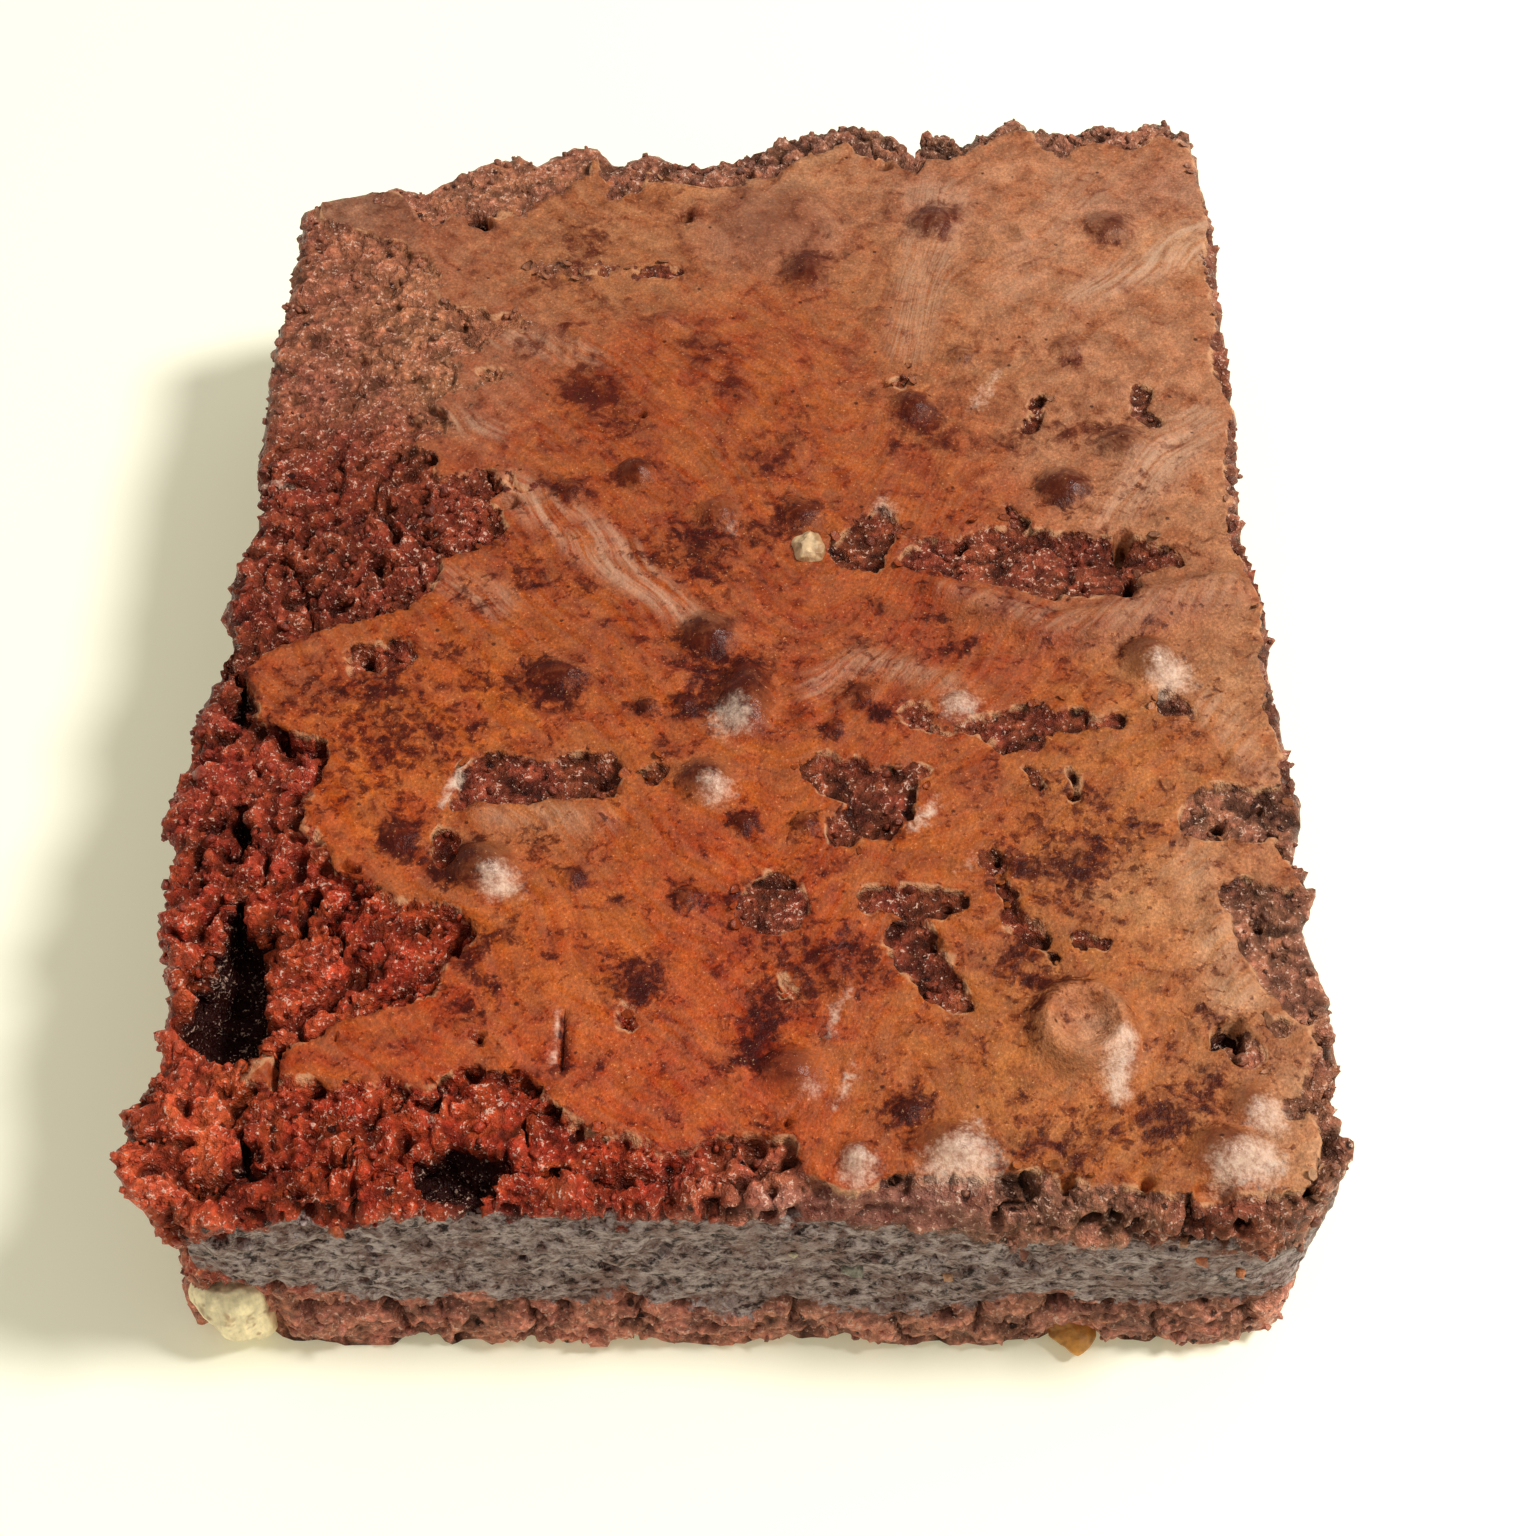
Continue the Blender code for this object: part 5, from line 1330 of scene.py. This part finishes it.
# %% Colour of the crumb
def crumb_colour(put, bake):
    """The crumb's tone with painted shade in creases, painted light on peaks, pressed band, pores, wells and
    glints.
    """
    # Painted shade: the tone darkens where the crumb stands low, in creases, cracks and pores, and at the
    # rims of its grains.
    light = put(
        "times", put("eased", bake.standing, 0.05, 0.85, 0.26, 1.34),
        put("eased", bake.cell, 0.15, 0.75, 1.15, 0.72), put("eased", bake.blot, *MIDDLE, 0.62, 1.36),
        put("eased", bake.speck, *MIDDLE, 0.7, 1.3),
    )
    crumb = put("shaded", bake.crumb_tone, light, put("eased", bake.mottle, 0.38, 0.62, 0.497, 0.505))
    # painted_peak_light: peaks made paler, as painted light on the crumb's crowns.
    painted_peak_light = put("eased", put("plus", bake.standing, put("times", bake.blot, 0.8)), 0.95, 1.35)
    crumb = put("mixed", put("times", painted_peak_light, 0.16), crumb, "#c26a48")
    band = put("mixed", put("eased", bake.blot, *MIDDLE), "#6e3428", "#a87060")
    grain = put("eased", bake.grit, *MIDDLE, 0.88, 1.12)
    band = put("shaded", band, put("times", grain, put("eased", bake.speck, *MIDDLE, 0.85, 1.1)))
    crumb = put("mixed", put("times", bake.smooth_band, 0.75), crumb, band)
    # Pores are painted near black, as painted shade in the holes.
    pore = put("eased", put("plus", bake.seeds, put("times", bake.speck, 0.16)), 0.24, 0.17)
    crumb = put("mixed", put("times", pore, 0.9), crumb, "#220a06")
    # Wells and wall pits are painted dark with their depth, as painted shade.
    crumb = put("mixed", put("eased", bake.hollow, 0.1, 0.8), crumb, "#2a0e0a")
    # painted_glints: pale specks on the highest grit, as painted glints of light on sugar grains.
    shares = ((bake.grit, 0.65), (bake.speck, 0.7), (bake.standing, 0.08))
    painted_glints = put("plus", *(put("times", *share) for share in shares))
    return put("mixed", put("times", put("eased", painted_glints, 0.8, 0.89), 0.75), crumb, "#e6bda6")


# %% [markdown]
# The blade smeared the crumb of the near face to a patchy film. Its grey, in dabs drawn out along the cut, is
# partly its own colour and partly painted sheen of the smooth face, with brown showing through where it is
# thin and dark gaps and pits between the dabs.

# %% Colour of the film
def film_colour(put, bake):
    """Grey dabs, then a mottle, a stain, gaps and pits, each mixed over what came before."""
    dabs = put("noise", put("drawn", bake.place, (0.62, 0.62, 1)), per(0.5), 4, 0.7)
    pits = put("noise", bake.place, per(0.75), 3, 0.6)
    # The grey dabs are partly the film's own colour and partly painted sheen.
    film = put("mixed", put("eased", dabs, 0.36, 0.64), "#64504a", "#bba8a3")
    film = put("mixed", put("eased", bake.mottle, 0.42, 0.7, 0, 0.7), film, "#7e5a4c")
    film = put("mixed", put("eased", bake.stain, 0.52, 0.62, 0, 0.65), film, "#5c3024")
    film = put("mixed", put("eased", dabs, 0.44, 0.36), film, "#2e1c18")
    return put("mixed", put("eased", pits, 0.42, 0.34, 0, 0.9), film, "#1d0e0b")


# %% [markdown]
# The three colours are laid over each other: skin over crumb with a pale broken lip between them, partly the
# skin's torn edge and partly a painted highlight on the rim; near-white painted highlights for the window's
# glints on blisters and lit crater walls; and the film on top. Noise frays the kept distances' borders. The
# moist crumb is glossy, skin and film are duller, and blisters shine where the skin is drawn tight.

# %% The slab's finish
def baked_brownie():
    """The slab's material, a low IOR holding its sheen back to that of a dull baked surface."""
    made, put, shader = new_material("baked_fudge_brownie", 0.5, 1.22)
    bake = read_bake(put)
    fray = put("times", put("plus", bake.speck, -0.5), 0.7)
    worn = put("times", put("plus", bake.blot, -0.5), 3)
    patchy = put("times", worn, bake.half_bare, 2.4)
    on_skin = put("eased", put("plus", bake.skin, fray, patchy), -0.05, 0.12)
    torn = put("plus", put("times", worn, 1.9), put("times", fray, 2.4))
    on_cut = put("eased", put("plus", bake.cut, torn), 0, 0.7)
    on_cut = put("times", on_cut, put("eased", bake.hollow, 0.2, 0.6, 1, 0))

    # The lip's pale colour is partly the skin's torn edge and partly a painted highlight along the crater
    # rims.
    lip = put("times", put("eased", bake.skin, 0.3, 0.08), put("eased", bake.skin, -0.24, -0.04))
    lip = put("times", lip, put("eased", bake.blot, 0.47, 0.62, 0, 0.7))
    # glint: near-white painted highlights where the window would glint on blisters and crater walls, broken
    # up by grain.
    shares = ((bake.pale, 1.3), (bake.speck, 1.6), (bake.grit, 0.8))
    glint = put("plus", *(put("times", *share) for share in shares))
    glint = put("times", put("eased", glint, 1.35, 2.75, 0, 0.9), put("eased", bake.pale, 0, 0.3))
    body = put("mixed", on_skin, crumb_colour(put, bake), skin_colour(put, bake))
    body = put("mixed", glint, put("mixed", lip, body, "#cb976e"), "#dcbfa8")
    body = put("mixed", on_cut, body, film_colour(put, bake))

    dulled, shining = put("times", on_cut, 0.14), put("times", bake.blister, -0.2)
    gloss = put("plus", put("eased", on_skin, 0, 1, 0.27, 0.43), dulled, shining)
    height = put("plus", bake.speck, bake.grit, put("times", bake.cell, -0.5))
    depth = put("times", put("eased", on_skin, 0, 1, 1, 0.4), put("eased", bake.blister, 0.2, 0.8, 1, 0.5))
    wire(shader, {"Base Color": body, "Roughness": gloss, "Normal": put("bump", depth, 0.28 * MM, height)})
    return made


# %% [markdown]
# ## Crumbs, flakes and nuts
# Loose crumbs are moist grains of the slab, and flakes are its brittle dried film. A crumb takes the tone of
# the crumb it lies on, and a flake that of its skin. Both are a kept tone with grain in colour and in bump,
# so one function makes both finishes. Broken walnut is waxy cream flesh, browner in its furrows, with shreds
# of papery husk left on.

# %% Finishes of the loose pieces
def grained(name, roughness, tone, grit, speck, strength, rise_mm):
    """A kept tone shaded by two noises, each given as its size in mm and its darkest and lightest factor."""
    made, put, shader = new_material(name, roughness, 1.37)
    place = put("place")
    noises = [put("noise", place, per(size), detail, 0.6) for size, detail in ((grit[0], 2), (speck[0], 3))]
    factors = [put("eased", found, *MIDDLE, *kind[1:]) for found, kind in zip(noises, (grit, speck))]
    tint = put("shaded", put("stored", attribute_name=tone, out="Color"), put("times", *factors))
    wire(shader, {"Base Color": tint, "Normal": put("bump", strength, rise_mm * MM, put("plus", *noises))})
    return made


def broken_walnut():
    """Broken kernel: fibres drawn out upwards shade its tone, and husk lies where a coarse noise is high."""
    made, put, shader = new_material("broken_walnut_kernel", 0.45, 1.45)
    place = put("place")
    fibre = put("noise", put("drawn", place, (1, 1, 0.35)), per(0.35), 3, 0.6)
    patch = put("noise", place, per(2.4), 3, 0.6)
    furrow = put("eased", put("stored", attribute_name="furrow"), 0, 0.8, 0.78, 1.08)
    light = put("times", put("eased", fibre, *MIDDLE, 0.84, 1.12), furrow)
    flesh = put("shaded", put("stored", attribute_name="nut_tone", out="Color"), light)
    husk = put("eased", put("plus", patch, put("times", fibre, 0.12)), 0.64, 0.72)
    flesh = put("mixed", put("times", husk, 0.7), flesh, "#8a5a2c")
    wire(shader, {"Base Color": flesh, "Normal": put("bump", 0.5, 0.15 * MM, fibre)})
    return made


def finish(material, *things):
    """Gives the things that material alone."""
    for thing in things:
        thing.data.materials.clear()
        thing.data.materials.append(material)


finish(baked_brownie(), slab)
moist_crumb = grained(
    "moist_brownie_crumb", 0.30, "crumb_tone", (0.16, 0.75, 1.2), (0.45, 0.7, 1.2), 0.9, 0.15,
)
dry_skin = grained(
    "dried_meringue_skin", 0.42, "skin_tone", (0.2, 0.82, 1.12), (0.7, 0.72, 1.12), 0.6, 0.12,
)
finish(moist_crumb, crumbs)
finish(dry_skin, flakes)
finish(broken_walnut(), *chips)
print("materials:", [material.name for material in bpy.data.materials if material.users])


# %% [markdown]
# ## Light and table
# A large window stands high at the right, and a pale table fills the view. The soft key gives the blisters
# their glints, helped by painted highlights in the finish, and each crater its dark side, and the bright
# surroundings do the rest. A sun lamp would be simpler, but its shadows would be harder than those of a
# window.

# %% Stage
WINDOW = {"place_mm": (450, -20, 630), "size_mm": 180, "watts": 6.2, "tint": "#fffdf9"}
ROOM_STRENGTH, TABLE_GLOW = 0.5, 0.2
TABLE_REACH, TABLE_DROP = 3000, 0.02


def area_light(name, place_mm, size_mm, watts, tint):
    """A round lamp that looks at the middle of the slab's underside."""
    light = bpy.data.lights.new(name, "AREA")
    light.shape = "DISK"
    light.size = size_mm * MM
    light.energy = watts
    light.color = linear(tint)
    made = bpy.data.objects.new(name, light)
    made.location = [c * MM for c in place_mm]
    aim = -np.array(place_mm, float)
    tilt = math.atan2(math.hypot(aim[0], aim[1]), -aim[2])
    made.rotation_euler = (tilt, 0, math.atan2(aim[1], aim[0]) - math.pi / 2)
    bpy.context.scene.collection.objects.link(made)


area_light("window", **WINDOW)
world = bpy.data.worlds.new("bright_room")
world.use_nodes = True
background = world.node_tree.nodes["Background"]
background.inputs["Color"].default_value = (*linear("#fffdf8"), 1)
background.inputs["Strength"].default_value = ROOM_STRENGTH
bpy.context.scene.world = world
bpy.context.scene.view_settings.view_transform = "Standard"

corners = np.array([[-1, -1], [1, -1], [1, 1], [-1, 1]]) * TABLE_REACH
table_points = np.column_stack([corners, np.full(4, -TABLE_DROP)])
table = bpy.data.objects.new("table", mesh_from("table", table_points, np.arange(4)[None, :]))
table_finish, _, table_shader = new_material("pale_painted_table", 0.6, 1.45)
table_shader.inputs["Base Color"].default_value = (*linear("#efeddd"), 1)
table_shader.inputs["Emission Color"].default_value = (*linear("#fff9bc"), 1)
table_shader.inputs["Emission Strength"].default_value = TABLE_GLOW
finish(table_finish, table)
bpy.context.scene.collection.objects.link(table)
print("window of", WINDOW["watts"], "W and a table", 2 * TABLE_REACH, "mm wide")
